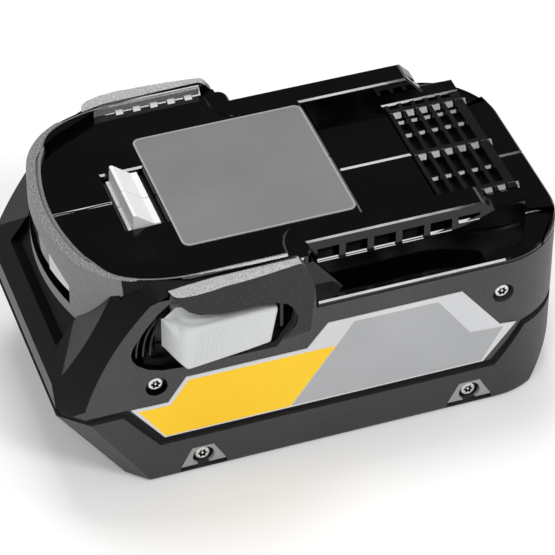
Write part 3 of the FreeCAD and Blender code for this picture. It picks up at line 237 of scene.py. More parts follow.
FINISHES = {
    finish.name: finish for finish in (
        # Charcoal ABS, spark-eroded: a dull grey side wall with a faint fleck
        Moulding("housing_abs", "#353334", "#2d2b2c", 0.46, speckle="#454344", speckle_share=0.6),
        # The same plastic from a coarser mould, on the ears: gritty, with tops that face up painted pale as a
        # sheen
        Moulding("grip_abs", "#242323", "#1e1d1d", 0.55, grain_mm=0.32, grain_depth_mm=0.02,
                 speckle="#3f3e3e", painted_top_sheen="#bdbdbd", specular=0.3),
        # The same coarse plastic on the rim: grey with pale grit, and a fainter sheen painted on tops that face
        # up
        Moulding("rim_abs", "#3a3a3a", "#333333", 0.5, grain_mm=0.4, grain_depth_mm=0.02,
                 speckle="#a6a6a6", speckle_share=0.7, painted_top_sheen="#5f5f5f"),
        # The rim's inner edge: a real gloss that catches the lamps, on a pale grey that paints in the rest of
        # its highlight
        Moulding("rim_edge_highlight_abs", "#6e6e6e", "#606060", 0.2, grain_mm=0.35, grain_depth_mm=0.004,
                 speckle="#8e8e8e", speckle_share=0.6, specular=0.7),
        # The wall round the gauge: the same plastic painted lighter and even, as painted light from the lamp on
        # the left
        Moulding("gauge_wall_lit_abs", "#767576", "#6c6b6c", 0.5, speckle="#868586"),
        # The leaning nose: the same plastic painted near black as shade, with hardly any fleck and hardly any
        # shine
        Moulding("nose_shade_abs", "#030303", "#050505", 0.4, specular=0.06),
        # The curved side facets: painted near black as shade, a little greyer than the nose
        Moulding("facet_shade_abs", "#0e0e0e", "#0a0a0a", 0.45, speckle="#141414", speckle_share=0.4,
                 specular=0.12),
        # The cheeks between nose and facets: a dull grey, painted darker than the side wall as shade
        Moulding("cheek_shade_abs", "#2c2b2c", "#262526", 0.45, speckle="#343334", specular=0.25),
        # Charcoal ABS of the tray: a shade darker than the housing
        Moulding("tray_abs", "#2c2a2b", "#262425", 0.5, speckle="#3a3839", speckle_share=0.6),
        # Polished black ABS: a mirror-like skin over deep black, dulled in places by handling
        Moulding("deck_abs", "#020202", "#040404", 0.06, grain_mm=5.0, grain_depth_mm=0.003, specular=0.4,
                 smudge=0.1, smudge_mm=14.0),
        # Smoked acrylic of the gauge: black and glossy, with faint smears
        Moulding("gauge_lens", "#0a0a0b", "#0d0d0e", 0.07, grain_mm=8.0, grain_depth_mm=0.004,
                 smudge=0.05),
        # Light grey ABS with a satin skin: pale and clean, a little greyer where fingers press
        Moulding("button_abs", "#d3d5d6", "#cccecf", 0.42, grain_mm=0.3, grain_depth_mm=0.004),
        # White acetal: paler than the buttons, with a waxy sheen
        Moulding("latch_acetal", "#f0f0f0", "#e8e8e8", 0.36, grain_mm=0.3, grain_depth_mm=0.004),
        # Mid-grey ABS of the screws' seats: even and satin
        Moulding("seat_abs", "#9b9b9b", "#939393", 0.45, grain_mm=0.3, grain_depth_mm=0.006),
        # Black ABS and glass-filled nylon inside the openings: dark, with soft highlights on their edges
        Moulding("guide_abs", "#0a0a0b", "#0e0e0f", 0.3, grain_mm=0.4, grain_depth_mm=0.006),
        Moulding("terminal_nylon", "#0b0b0c", "#101011", 0.2, grain_mm=0.6, grain_depth_mm=0.005),
        # Black elastomer strip: dull and slightly uneven
        Moulding("gasket_rubber", "#131115", "#19171b", 0.7, grain_depth_mm=0.02, specular=0.3),
        # Inner mouldings, seen only through the openings: plain black
        Moulding("holder_abs", "#151515", "#1a1a1a", 0.6),
        # Glass-fibre laminate under green solder mask: a fine weave, half glossy
        Moulding("board_laminate", "#0f3a1e", "#124424", 0.4, grain_mm=0.8),
        # Moulded epoxy of the chips: dull black
        Moulding("package_epoxy", "#101010", "#141414", 0.6),
        # Clear epoxy of the gauge lights: pale green and smooth
        Moulding("light_epoxy", "#c9e8c9", "#d2ecd2", 0.25),
        # Shrunk vinyl on the cells: near black, with a tight sheen
        Moulding("cell_sleeve", "#17181b", "#1d1e22", 0.35, grain_mm=0.8),
        # Printed polyester film: an even coat of ink with a satin lacquer
        Moulding("label_film", "#787878", "#7e7e7e", 0.38, grain_mm=0.6, grain_depth_mm=0.002,
                 specular=0.25),
        Moulding("label_border_film", "#9c9c9c", "#a2a2a2", 0.38, grain_mm=0.6, grain_depth_mm=0.002,
                 specular=0.25),
        Moulding("frame_film", "#d6d7d9", "#d0d1d3", 0.36, grain_mm=0.6, grain_depth_mm=0.002,
                 specular=0.25),
        Moulding("yellow_film", "#ffd02c", "#fecb26", 0.36, grain_mm=0.6, grain_depth_mm=0.002,
                 specular=0.25),
        Moulding("grey_film", "#b0b1b3", "#abacae", 0.36, grain_mm=0.6, grain_depth_mm=0.002,
                 specular=0.25),
        # Bright zinc-plated steel: a cold white shine with turning marks
        Metal("zinc_steel", "#dededc", 0.3),
        # The same plating inside the recess, painted dark as the recess's shade
        Metal("recess_shade_steel", "#1c1c1c", 0.5),
        # Drawn spring wire: grey, with a soft shine along the wire
        Metal("spring_steel", "#9a9a9a", 0.35),
        # Rolled nickel strip: a warm, even grey
        Metal("nickel_strip", "#bcb8ae", 0.35),
        # Copper blades, thinly tinned: a pale, warm shine
        Metal("tinned_copper", "#c8b090", 0.3),
    )
}
_made: Dict[str, bpy.types.Material] = {}


def material_of(name: str) -> bpy.types.Material:
    """Give a finish's material, made once."""
    if name not in _made:
        _made[name] = FINISHES[name].build()
    return _made[name]


# Meshes


def grid_faces(rows: int, columns: int, wrap: bool) -> np.ndarray:
    """Faces of a grid of points, row by row.

    Args:
        rows: How many rows of points.
        columns: How many points in a row.
        wrap: Whether the last point of a row joins the first.

    Returns:
        Four point numbers for each face: a point, its right neighbour, and the two above them.
    """
    down = np.arange(rows - 1)[:, None] * columns
    across = np.arange(columns if wrap else columns - 1)[None, :]
    right = (across + 1) % columns
    corners = [down + across, down + right, down + columns + right, down + columns + across]
    return np.stack(corners, -1).reshape(-1, 4)


def solid_mesh(name: str, parts: Sequence[Part], smooth: bool = True) -> bpy.types.Mesh:
    """Join closed surfaces into one mesh with its faces turned outwards.

    Args:
        name: The mesh's name.
        parts: For each surface its points in millimetres, its faces, and its material number.
        smooth: Whether the faces are shaded smooth.

    Returns:
        The mesh, in metres, with doubled points merged.
    """
    points, faces, numbers = [], [], []
    for part_points, part_faces, number in parts:
        start = sum(len(block) for block in points)
        points.append(np.asarray(part_points, float).reshape(-1, 3))
        faces.extend([[int(v) + start for v in face] for face in part_faces])
        numbers.extend([number] * len(part_faces))
    mesh = bpy.data.meshes.new(name)
    mesh.from_pydata(np.concatenate(points) * MM, [], faces)
    mesh.polygons.foreach_set("material_index", np.array(numbers, np.int32))
    work = bmesh.new()
    work.from_mesh(mesh)
    bmesh.ops.remove_doubles(work, verts=work.verts, dist=1e-7)
    bmesh.ops.recalc_face_normals(work, faces=work.faces)
    work.to_mesh(mesh)
    work.free()
    mesh.polygons.foreach_set("use_smooth", np.full(len(mesh.polygons), smooth))
    return mesh


def prism(outline: Sequence[Tuple[float, float]], span: Tuple[float, float], along: str,
          number: int = 0) -> Part:
    """A straight prism: a flat outline carried from one place to another along an axis.

    Args:
        outline: Corners, as (X, Z) for an axis of Y, (Y, Z) for X, and (X, Y) for Z.
        span: The two places along the axis.
        along: The axis, as y, x or z.
        number: The material number.

    Returns:
        Points, faces and material number for solid_mesh.
    """
    flat = np.asarray(outline, float)
    count = len(flat)
    order = {"y": (0, 2, 1), "x": (1, 2, 0), "z": (0, 1, 2)}[along]
    points = np.zeros((2 * count, 3))
    points[:, order[0]] = np.tile(flat[:, 0], 2)
    points[:, order[1]] = np.tile(flat[:, 1], 2)
    points[:, order[2]] = np.repeat(span, count)
    ring = np.arange(count)
    after = (ring + 1) % count
    sides = np.stack([ring, after, after + count, ring + count], -1).tolist()
    return points, [ring[::-1].tolist(), (ring + count).tolist()] + sides, number


def sweep(path: np.ndarray, section: Sequence[Tuple[float, float]], number: int = 0) -> Part:
    """Carry an upright section along a path.

    Each corner of the section lies beside the path by its first number and above it by its second.

    Args:
        path: Points of the path, in millimetres.
        section: The section's corners, as (to the left of the way, up).
        number: The material number.

    Returns:
        Points, faces and material number for solid_mesh.
    """
    way = np.gradient(path[:, :2], axis=0)
    way /= np.linalg.norm(way, axis=1, keepdims=True)
    left = np.stack([-way[:, 1], way[:, 0], np.zeros(len(way))], -1)
    corners = np.asarray(section, float)
    up = np.array([0.0, 0.0, 1.0])
    points = path[:, None] + left[:, None] * corners[None, :, :1] + up * corners[None, :, 1:]
    count = len(corners)
    last = (len(path) - 1) * count
    faces = grid_faces(len(path), count, True).tolist()
    faces += [list(range(count))[::-1], [last + place for place in range(count)]]
    return points.reshape(-1, 3), faces, number


def bead(half_width: float, height: float) -> List[Tuple[float, float]]:
    """The section of a bead with a pointed top, sunk 0.1 mm into the face that it stands on."""
    return [(-half_width, -0.1), (-half_width, 0.0), (0.0, height), (half_width, 0.0), (half_width, -0.1)]


def arc_through(first: Sequence[float], middle: Sequence[float], last: Sequence[float],
                count: int) -> np.ndarray:
    """A circle's arc through three points in plan.

    The circle's middle is as far from each point, and the arc turns evenly between the three points' angles.

    Args:
        first: The first point.
        middle: A point on the way.
        last: The last point.
        count: How many points to give back.

    Returns:
        The arc's points.
    """
    (ax, ay), (bx, by), (cx, cy) = first, middle, last
    scale = 2 * (ax * (by - cy) + bx * (cy - ay) + cx * (ay - by))
    squares = (ax * ax + ay * ay, bx * bx + by * by, cx * cx + cy * cy)
    x = (squares[0] * (by - cy) + squares[1] * (cy - ay) + squares[2] * (ay - by)) / scale
    y = (squares[0] * (cx - bx) + squares[1] * (ax - cx) + squares[2] * (bx - ax)) / scale
    angles = np.unwrap([math.atan2(py - y, px - x) for px, py in (first, middle, last)])
    turn = np.interp(np.linspace(0, 2, count), [0, 1, 2], angles)
    radius = math.hypot(ax - x, ay - y)
    return np.stack([x + radius * np.cos(turn), y + radius * np.sin(turn)], -1)


def curve_through(corners: Sequence[Sequence[float]], count: int) -> np.ndarray:
    """A smooth line through points: a cubic through each four neighbours, with the halved chord as its slope.

    Args:
        corners: The points that the line passes through.
        count: How many points to give back.

    Returns:
        The line's points.
    """
    knots = np.asarray(corners, float)
    padded = np.vstack([2 * knots[0] - knots[1], knots, 2 * knots[-1] - knots[-2]])
    place = np.linspace(0, len(knots) - 1 - 1e-9, count)
    span = place.astype(int)
    share = (place - span)[:, None]
    before, start, end, after = (padded[span + step] for step in range(4))
    return 0.5 * (2 * start + (end - before) * share
                  + (2 * before - 5 * start + 4 * end - after) * share ** 2
                  + (3 * start - before - 3 * end + after) * share ** 3)


def place_piece(mesh: bpy.types.Mesh, name: str, body: Body, finishes: Sequence[str],
                replaced: Sequence[str] = ()) -> bpy.types.Object:
    """Put a finished mesh into the scene as a piece that rides on a body.

    Args:
        mesh: The mesh, in the frame's metres.
        name: The piece's name.
        body: The body that it rides on.
        finishes: Names of the finishes, one for each material number of the mesh.
        replaced: Frame nodes that the piece stands for.

    Returns:
        The new object, at the origin.
    """
    piece = bpy.data.objects.new(name, mesh)
    bpy.context.scene.collection.objects.link(piece)
    for finish in finishes:
        mesh.materials.append(material_of(finish))
    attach(piece, body.value)
    if replaced:
        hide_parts(*replaced)
    log.info("piece %s on %s", name, body.value)
    return piece


@dataclass(frozen=True)
class EdgeShares:
    """Shares of a bevel's width for the deck's sharp outer edges, places in millimetres.

    Edges shorter than the least length stay as they are, except at the deck's border and top. The deck's edge
    along the rim stays sharp, because a chamfer would open a gap there, and so does the far edge beside the ear.
    """

    width_mm: float
    shortest_mm: float = 6.0
    border_out: float = 34.0
    border_tail: float = 60.0
    border_up: float = 59.0
    nose_end: float = -36.0
    nose_half: float = 17.0
    ear_end: float = -5.0
    ear_out: float = 31.0
    most: float = 0.45
    least: float = 0.15

    def chosen(self, edge: bmesh.types.BMEdge) -> bool:
        """Whether an edge gets a bevel, by its angle, its length and the place of its middle."""
        middle = (edge.verts[0].co + edge.verts[1].co) / 2 / MM
        top = middle.z > self.border_up
        border = abs(middle.y) > self.border_out or middle.x > self.border_tail or top
        at_rim = middle.x < self.nose_end and abs(middle.y) > self.nose_half
        at_far_ear = middle.x < self.ear_end and middle.y > self.ear_out and top
        if at_rim or at_far_ear or edge.calc_face_angle_signed(0.0) < math.radians(SHARP_DEG):
            return False
        return border or edge.calc_length() >= self.shortest_mm * MM

    def room(self, edge: bmesh.types.BMEdge) -> float:
        """The least length of the edges that meet an edge's ends, times the sine of the angle between them."""
        room = math.inf
        for vert in edge.verts:
            way = (edge.other_vert(vert).co - vert.co).normalized()
            for other in vert.link_edges:
                reach = other.other_vert(vert).co - vert.co
                turn = way.dot(reach.normalized())
                if other is not edge and abs(turn) < 0.9:
                    room = min(room, reach.length * math.sqrt(1 - turn * turn))
        return room

    def mark(self, work: bmesh.types.BMesh) -> None:
        """Give each chosen edge its share: less than half of the room, so that two bevels never meet."""
        layer = work.edges.layers.float.new("bevel_weight_edge")
        for edge in work.edges:
            if self.chosen(edge):
                share = min(1.0, self.most * self.room(edge) / (self.width_mm * MM))
                edge[layer] = share if share > self.least else 0.0


def bevel_edges(piece: bpy.types.Object, width_mm: float, segments: int, shared: bool = False) -> None:
    """Round a piece's sharp edges with live modifiers, or break them with one flat face each.

    Args:
        piece: The piece.
        width_mm: Width of the bevel.
        segments: Faces across it; one makes a flat face that mirrors a lamp as a bright line.
        shared: Whether the edges carry their own shares of the width.
    """
    bevel = piece.modifiers.new("worked_edges", "BEVEL")
    bevel.width = width_mm * MM
    bevel.segments = segments
    bevel.limit_method = "WEIGHT" if shared else "ANGLE"
    bevel.angle_limit = math.radians(SHARP_DEG)
    bevel.use_clamp_overlap = not shared
    if segments == 1:
        piece.data.polygons.foreach_set("use_smooth", np.zeros(len(piece.data.polygons), bool))
        return
    bevel.miter_outer = "MITER_ARC"
    normals = piece.modifiers.new("even_normals", "WEIGHTED_NORMAL")
    normals.keep_sharp = True


def move_points(work: bmesh.types.BMesh, mesh: bpy.types.Mesh,
                shift: Callable[[np.ndarray], np.ndarray]) -> None:
    """Move a mesh's points. Its faces are made triangles first, so that none folds over where its corners move.

    Args:
        work: The mesh, which is changed in place.
        mesh: Takes the points for the move.
        shift: Moves points, given and returned in millimetres.
    """
    bmesh.ops.triangulate(work, faces=work.faces[:])
    work.to_mesh(mesh)
    points = np.empty(3 * len(mesh.vertices))
    mesh.vertices.foreach_get("co", points)
    mesh.vertices.foreach_set("co", (shift(points.reshape(-1, 3) / MM) * MM).ravel())
    work.clear()
    work.from_mesh(mesh)


def softened(node: str, name: str, body: Body, finishes: Sequence[str], width_mm: float,
             paint: Optional[Callable[[np.ndarray, np.ndarray], np.ndarray]] = None,
             shift: Optional[Callable[[np.ndarray], np.ndarray]] = None,
             flat: bool = False) -> bpy.types.Object:
    """Stand for a frame node with a merged copy whose edges are rounded or broken.

    Args:
        node: The frame node that is copied and replaced.
        name: The new piece's name.
        body: The body that it rides on.
        finishes: The finishes' names.
        width_mm: Width of the rounding.
        paint: Gives each face's material number from the faces' middles in millimetres and their normals.
        shift: Moves the copy's points, given and returned in millimetres.
        flat: Whether the edges get flat chamfers.

    Returns:
        The new piece.
    """
    work = bmesh.new()
    work.from_mesh(frame["nodes"][node].data)
    bmesh.ops.remove_doubles(work, verts=work.verts, dist=0.002 * MM)
    bmesh.ops.dissolve_limit(work, angle_limit=math.radians(0.4), verts=work.verts, edges=work.edges)
    mesh = bpy.data.meshes.new(name)
    if shift:
        move_points(work, mesh, shift)
    if flat:
        EdgeShares(width_mm).mark(work)
    work.to_mesh(mesh)
    work.free()
    mesh.materials.clear()
    count = len(mesh.polygons)
    mesh.polygons.foreach_set("use_smooth", np.ones(count, bool))
    numbers = np.zeros(count, np.int32)
    if paint:
        middles, normals = np.empty(3 * count), np.empty(3 * count)
        mesh.polygons.foreach_get("center", middles)
        mesh.polygons.foreach_get("normal", normals)
        numbers = paint(middles.reshape(-1, 3) / MM, normals.reshape(-1, 3)).astype(np.int32)
    mesh.polygons.foreach_set("material_index", numbers)
    piece = place_piece(mesh, name, body, finishes, [node])
    bevel_edges(piece, width_mm, 1 if flat else 3, flat)
    return piece


def dress(node: str, finish: str) -> None:
    """Give a frame node that stays as it is its material."""
    mesh = frame["nodes"][node].data
    mesh.materials.clear()
    mesh.materials.append(material_of(finish))
    log.info("node %s dressed as %s", node, finish)


# The stage


@dataclass
class Studio:
    """White floor, soft lamps and the camera at the photograph's viewing angle."""

    eye: Point = (-0.1952, -0.5635, 0.5465)
    aim: Point = (0.000645, 0.0, 0.023671)
    lens_mm: float = 199.9
    sensor_mm: float = 36.0
    floor_half: float = 4.0
    fill: float = 0.5
    glow: float = 0.08
    lamps: List[Tuple[str, Point, float, float]] = field(default_factory=lambda: [
        ("top_lamp", (0.05, 0.4, 1.1), 0.45, 4.6),
        ("front_lamp", (0.3, -0.77, 0.94), 0.26, 4.5),
        ("left_lamp", (-0.5, -0.68, 0.93), 0.3, 2.4),
    ])

    def build(self) -> None:
        """Make the floor, the world, the lamps and the camera."""
        self.floor()
        self.world()
        for name, place, size, power in self.lamps:
            self.lamp(name, place, size, power)
        self.camera()

    def floor(self) -> None:
        """A flat white sheet that keeps the shadow and shows white where nothing shades it."""
        half = self.floor_half
        mesh = bpy.data.meshes.new("floor")
        corners = [(-half, -half, 0), (half, -half, 0), (half, half, 0), (-half, half, 0)]
        mesh.from_pydata(corners, [], [(0, 1, 2, 3)])
        sheet = bpy.data.objects.new("floor", mesh)
        bpy.context.scene.collection.objects.link(sheet)
        material, tree, output = empty_material("floor_white")
        paths = add_node(tree, "ShaderNodeLightPath")
        seen = add_node(tree, "ShaderNodeMath", {"operation": "MAXIMUM"},
                        {0: paths.outputs["Is Camera Ray"], 1: paths.outputs["Is Transmission Ray"]})
        seen = add_node(tree, "ShaderNodeMath", {"operation": "MAXIMUM"},
                        {0: seen.outputs[0], 1: paths.outputs["Is Glossy Ray"]})
        glow = add_node(tree, "ShaderNodeMath", {"operation": "MULTIPLY", 1: self.glow},
                        {0: seen.outputs[0]})
        shade = add_node(tree, "ShaderNodeBsdfDiffuse", {"Color": linear("#f4f4f4")})
        light = add_node(tree, "ShaderNodeEmission", {"Color": linear("#ffffff")},
                         {"Strength": glow.outputs[0]})
        both = add_node(tree, "ShaderNodeAddShader", None, {0: shade.outputs[0], 1: light.outputs[0]})
        tree.links.new(both.outputs[0], output.inputs["Surface"])
        mesh.materials.append(material)

    def world(self) -> None:
        """White behind everything, a plain soft fill on the object, and a dark ceiling for its gloss.

        Gloss sees white near the horizon, so that it keeps the pale room, and dark higher up, where the black
        plastic of the photograph mirrors nothing.
        """
        world = bpy.data.worlds.new("studio")
        bpy.context.scene.world = world
        world.use_nodes = True
        tree = world.node_tree
        tree.nodes.clear()
        paths = add_node(tree, "ShaderNodeLightPath")
        seen = add_node(tree, "ShaderNodeMath", {"operation": "MAXIMUM"},
                        {0: paths.outputs["Is Camera Ray"], 1: paths.outputs["Is Transmission Ray"]})
        ray = add_node(tree, "ShaderNodeTexCoord")
        height = add_node(tree, "ShaderNodeSeparateXYZ", None, {0: ray.outputs["Generated"]})
        low = add_node(tree, "ShaderNodeMapRange",
                       {"From Min": 0.3, "From Max": 0.5, "To Min": 1.0, "To Max": 0.1},
                       {"Value": height.outputs["Z"]})
        glossy = add_node(tree, "ShaderNodeMath", {"operation": "MULTIPLY"},
                          {0: paths.outputs["Is Glossy Ray"], 1: low.outputs["Result"]})
        plain = add_node(tree, "ShaderNodeMath", {"operation": "MAXIMUM"},
                         {0: seen.outputs[0], 1: glossy.outputs[0]})
        rest = add_node(tree, "ShaderNodeMath", {"operation": "SUBTRACT", 0: 1.0},
                        {1: paths.outputs["Is Glossy Ray"]})
        fill = add_node(tree, "ShaderNodeMath", {"operation": "MULTIPLY", 1: self.fill},
                        {0: rest.outputs[0]})
        strength = add_node(tree, "ShaderNodeMath", {"operation": "MAXIMUM"},
                            {0: plain.outputs[0], 1: fill.outputs[0]})
        back = add_node(tree, "ShaderNodeBackground", {"Color": linear("#ffffff")},
                        {"Strength": strength.outputs[0]})
        output = add_node(tree, "ShaderNodeOutputWorld", None, {"Surface": back.outputs[0]})
        output.is_active_output = True

    def lamp(self, name: str, place: Point, size: float, power: float) -> None:
        """One square soft lamp that points at the pack."""
        data = bpy.data.lights.new(name, "AREA")
        data.size = size
        data.energy = power
        lamp = bpy.data.objects.new(name, data)
        lamp.location = place
        lamp.rotation_euler = (Vector(self.aim) - Vector(place)).to_track_quat("-Z", "Y").to_euler()
        bpy.context.scene.collection.objects.link(lamp)

    def camera(self) -> None:
        """A long lens at the photograph's place, for a square picture of 555 by 555."""
        data = bpy.data.cameras.new("camera")
        data.lens = self.lens_mm
        data.sensor_width = self.sensor_mm
        data.clip_start = 0.05
        camera = bpy.data.objects.new("camera", data)
        camera.location = self.eye
        camera.rotation_euler = (Vector(self.aim) - Vector(self.eye)).to_track_quat("-Z", "Y").to_euler()
        bpy.context.scene.collection.objects.link(camera)
        bpy.context.scene.camera = camera
        bpy.context.scene.view_settings.view_transform = "Standard"


# The case


class HousingZone(IntEnum):
    """The housing's zones by material number: each has its own finish; the gauge wall is painted light, and the
    nose, facets and cheeks are painted shade.
    """

    SIDE = 0
    EAR = 1
    GAUGE = 2
    NOSE = 3
    FACET = 4
    CHEEK = 5
    RIM = 6


ZONE_FINISHES = ["housing_abs", "grip_abs", "gauge_wall_lit_abs", "nose_shade_abs", "facet_shade_abs", "cheek_shade_abs", "rim_abs"]


@dataclass
class Rim:
    """The rim round the deck: its line, the burnished lip, the dark skirts and the deck's parting bead.

    The rim round the deck: its line, the lip whose pale edge paints in a highlight, the dark skirts and the
    deck's parting bead.
    """

    plate: float = 60.5
    top: float = 62.8
    top_depth: float = 0.3
    line_x: Tuple[float, ...] = (-56.5, -54.0, -52.7, -50.7, -48.1, -45.4, -43.1, -40.8, -38.2, -34.9, -31.4)
    line_y: Tuple[float, ...] = (19.5, 24.4, 27.0, 29.4, 31.3, 32.7, 33.5, 34.15, 34.7, 35.1, 35.25)
    inner_x: Tuple[float, ...] = (-41.9, -39.0, -37.0, -35.0)
    inner_y: Tuple[float, ...] = (31.4, 33.0, 34.2, 35.8)
    nose_lift: float = 9.0
    nose_end: float = -47.0
    nose_fade: float = 4.0
    flank: Tuple[float, float] = (-56.0, -34.2)
    flank_out: float = 36.6
    corner: Tuple[float, float] = (-44.0, -39.4)
    corner_out: float = 36.9
    corner_top: float = 59.2
    ear_foot: Tuple[Tuple[float, float], Tuple[float, float]] = ((-31.0, 35.25), (-8.9, 35.3))
    bow: Tuple[Tuple[float, float], ...] = ((-56.3, 19.5), (-59.4, 0.0), (-56.3, -19.5))
    lip: Tuple[Tuple[float, float], ...] = (
        (0.0, -2.2), (0.0, -0.5), (0.52, 0.06), (0.85, 0.06), (1.2, -0.25), (1.2, -2.2))
    skirt_inset: float = 1.1
    skirt_depth: float = 1.9
    skirt_proud: float = 0.03
    skirt: Tuple[Tuple[float, float], ...] = (
        (-33.4, 34.2), (-37.0, 33.7), (-39.0, 32.5), (-41.9, 30.95), (-44.0, 29.85), (-47.0, 28.35),
        (-50.0, 26.6), (-53.0, 24.0), (-55.6, 20.6))
    seam_span: Tuple[float, float] = (-58.9, -42.6)
    seam_swing: float = 0.12

    def draw_in(self, points: np.ndarray) -> np.ndarray:
        """Draw the top of the rim's flanks in to the line, and lower the side wall's corner before the ear.

        Each point of the top goes no further out than the line, which is lifted away round the nose and stays
        outside the rim's inner edge near the ear.

        Args:
            points: The housing's points in millimetres.

        Returns:
            The moved points.
        """
        x, y, z = points.T
        reach = np.abs(y)
        lift = self.nose_lift * np.clip((self.nose_end - x) / self.nose_fade, 0, 1)
        line = np.interp(x, self.line_x, self.line_y) + lift
        line = np.maximum(line, np.interp(x, self.inner_x, self.inner_y))
        on_flank = (x > self.flank[0]) & (x < self.flank[1]) & (reach < self.flank_out)
        raised = z > self.top - self.top_depth
        at_corner = (x > self.corner[0]) & (x < self.corner[1]) & (reach > self.corner_out)
        moved = np.where(on_flank & raised, np.minimum(reach, line), reach)
        lowered = np.where(at_corner, np.minimum(z, self.corner_top), z)
        return np.stack([x, np.sign(y) * moved, lowered], -1)

    def build(self) -> None:
        """Make the lip, the skirts and the parting bead.

        The lip is its section, with a broad chamfer, carried along the line from ear to ear round the nose. The
        skirts cover the inner part of the rim's flanks and close the gap to the deck.
        """
        line = curve_through(list(zip(self.line_x[1:], self.line_y[1:])), 60)
        line = np.vstack([line, np.linspace(self.ear_foot[0], self.ear_foot[1], 12)])
        plan = np.vstack([line[::-1], arc_through(*self.bow, 40), line * [1, -1]])
        route = np.column_stack([plan, np.full(len(plan), self.top)])
        # The lip's pale glossy finish paints in a highlight along the rim's inner edge.
        place_piece(solid_mesh("rim_lip", [sweep(route, self.lip)], False), "rim_lip", Body.CASE,
                    ["rim_edge_highlight_abs"])
        outer = line[(line[:, 0] > -55.0) & (line[:, 0] < -33.0)] - [0, self.skirt_inset]
        span = (self.plate - self.skirt_depth, self.top + self.skirt_proud)
        skirts = [prism(np.vstack([outer, self.skirt]) * [1, side.value], span, "z") for side in Side]
        place_piece(solid_mesh("rim_skirts", skirts, False), "rim_skirts", Body.CASE,
                    ["deck_abs"])
        places = np.linspace(*self.seam_span, 12)
        seam = np.column_stack([places, self.seam_swing * np.sin(np.linspace(0, 9, 12)),
                                np.full(12, self.plate)])
        place_piece(solid_mesh("deck_seam", [sweep(seam, bead(0.16, 0.14))], False), "deck_seam", Body.CASE,
                    ["deck_abs"])


@dataclass
class Case:
    """The tray, the band, the housing and the deck."""

    rim: Rim = field(default_factory=Rim)
    edge_mm: float = 0.45
    deck_edge_mm: float = 0.45
    seat_edge_mm: float = 0.2
    glass_edge_mm: float = 0.15
    key_edge_mm: float = 0.3
    half_width: float = 37.5
    inner_half: float = 36.2
    middle_x: float = -40.0
    mask_low: float = 44.2
    mask_tail: float = -37.0
    lit_wall_end: float = -49.3
    grit_end: float = -46.0

    def paint_housing(self, middles: np.ndarray, normals: np.ndarray) -> np.ndarray:
        """Give each face of the housing its zone, by its place and the way it faces. Several zones paint light
        and shade in.

        Args:
            middles: The faces' middles in millimetres.
            normals: The faces' normals.

        Returns:
            The faces' zones.
        """
        x, y, z = middles.T
        reach, up = np.abs(y), normals[:, 2]
        outward = normals[:, 1] * np.sign(y)
        facing_out = normals[:, 0] * (x - self.middle_x) + normals[:, 1] * y > 0
        zones = np.full(len(middles), HousingZone.SIDE.value)
        # Faces that lean up under the rim at the nose: painted shade, near black on the nose, dark grey on the
        # cheeks, black on the facets.
        leaning = (x < self.mask_tail) & (up > 0.15) & (z < self.rim.top - 0.2)
        zones[leaning] = HousingZone.NOSE
        zones[leaning & (np.abs(normals[:, 1]) > 0.03)] = HousingZone.CHEEK
        zones[leaning & (outward > 0.3)] = HousingZone.FACET
        # The upright wall under the rim: painted light towards the nose, painted shade further back.
        upright = (np.abs(up) < 0.25) & facing_out & (reach < self.half_width - 1.0)
        wall = upright & (x < self.mask_tail) & (z > self.mask_low)
        zones[wall] = np.where(x[wall] < self.lit_wall_end, HousingZone.GAUGE, HousingZone.FACET)
        # Rim tops: speckled towards the nose; further back near black, for the black lip plastic and as painted
        # shade.
        raised = (z > self.rim.top - self.rim.top_depth) & (up > 0.6)
        zones[raised] = np.where(x[raised] < self.grit_end, HousingZone.RIM, HousingZone.NOSE)
        # The flank's upper side wall below the rim: painted shade.
        flank = (x > self.lit_wall_end) & (x < -34.0) & (reach > 30.0) & (reach < 37.3) & (z > 57.5)
        zones[flank & ~raised] = HousingZone.FACET
        zones[reach > self.half_width + 0.15] = HousingZone.EAR
        ear_top = (z > 60.8) & ~raised & (x > -40.5) & (up > 0.6) & (reach > self.inner_half)
        zones[ear_top] = HousingZone.EAR
        # Faces under the gauge, below the mask's lip: painted shade.
        shade_under_gauge = (x < -55.0) & (z < self.mask_low + 0.3) & (z > 36.0) & (reach < 22.0)
        zones[shade_under_gauge] = HousingZone.NOSE
        # Walls inside the rim that face inward: near black, for the black deck plastic and as painted shade.
        inner = ~facing_out & (np.abs(up) < 0.9) & (z > 45.0) & (reach < self.inner_half)
        zones[inner] = HousingZone.NOSE
        return zones

    def build(self) -> None:
        """Round the edges of the shells, break those of the deck, and add the trim."""
        softened("upper_housing", "housing_shell", Body.CASE, ZONE_FINISHES, self.edge_mm,
                 self.paint_housing, self.rim.draw_in)
        softened("lower_tray", "tray_shell", Body.CASE, ["tray_abs"], self.edge_mm)
        for side in Side:
            softened("deck_" + side.word, "deck_half_" + side.word, Body.CASE, ["deck_abs"],
                     self.deck_edge_mm, flat=True)
            RailTrim(side).build()
        softened("screw_seat_plates", "seat_plates", Body.CASE, ["seat_abs"],
                 self.seat_edge_mm)
        softened("gauge_window", "gauge_glass", Body.CASE, ["gauge_lens"],
                 self.glass_edge_mm)
        softened("gauge_key", "gauge_touch_key", Body.CHECK_KEY, ["button_abs"],
                 self.key_edge_mm)
        self.rim.build()
        Grille().build()
        dress("seam_gasket", "gasket_rubber")
        dress("terminal_block", "terminal_nylon")


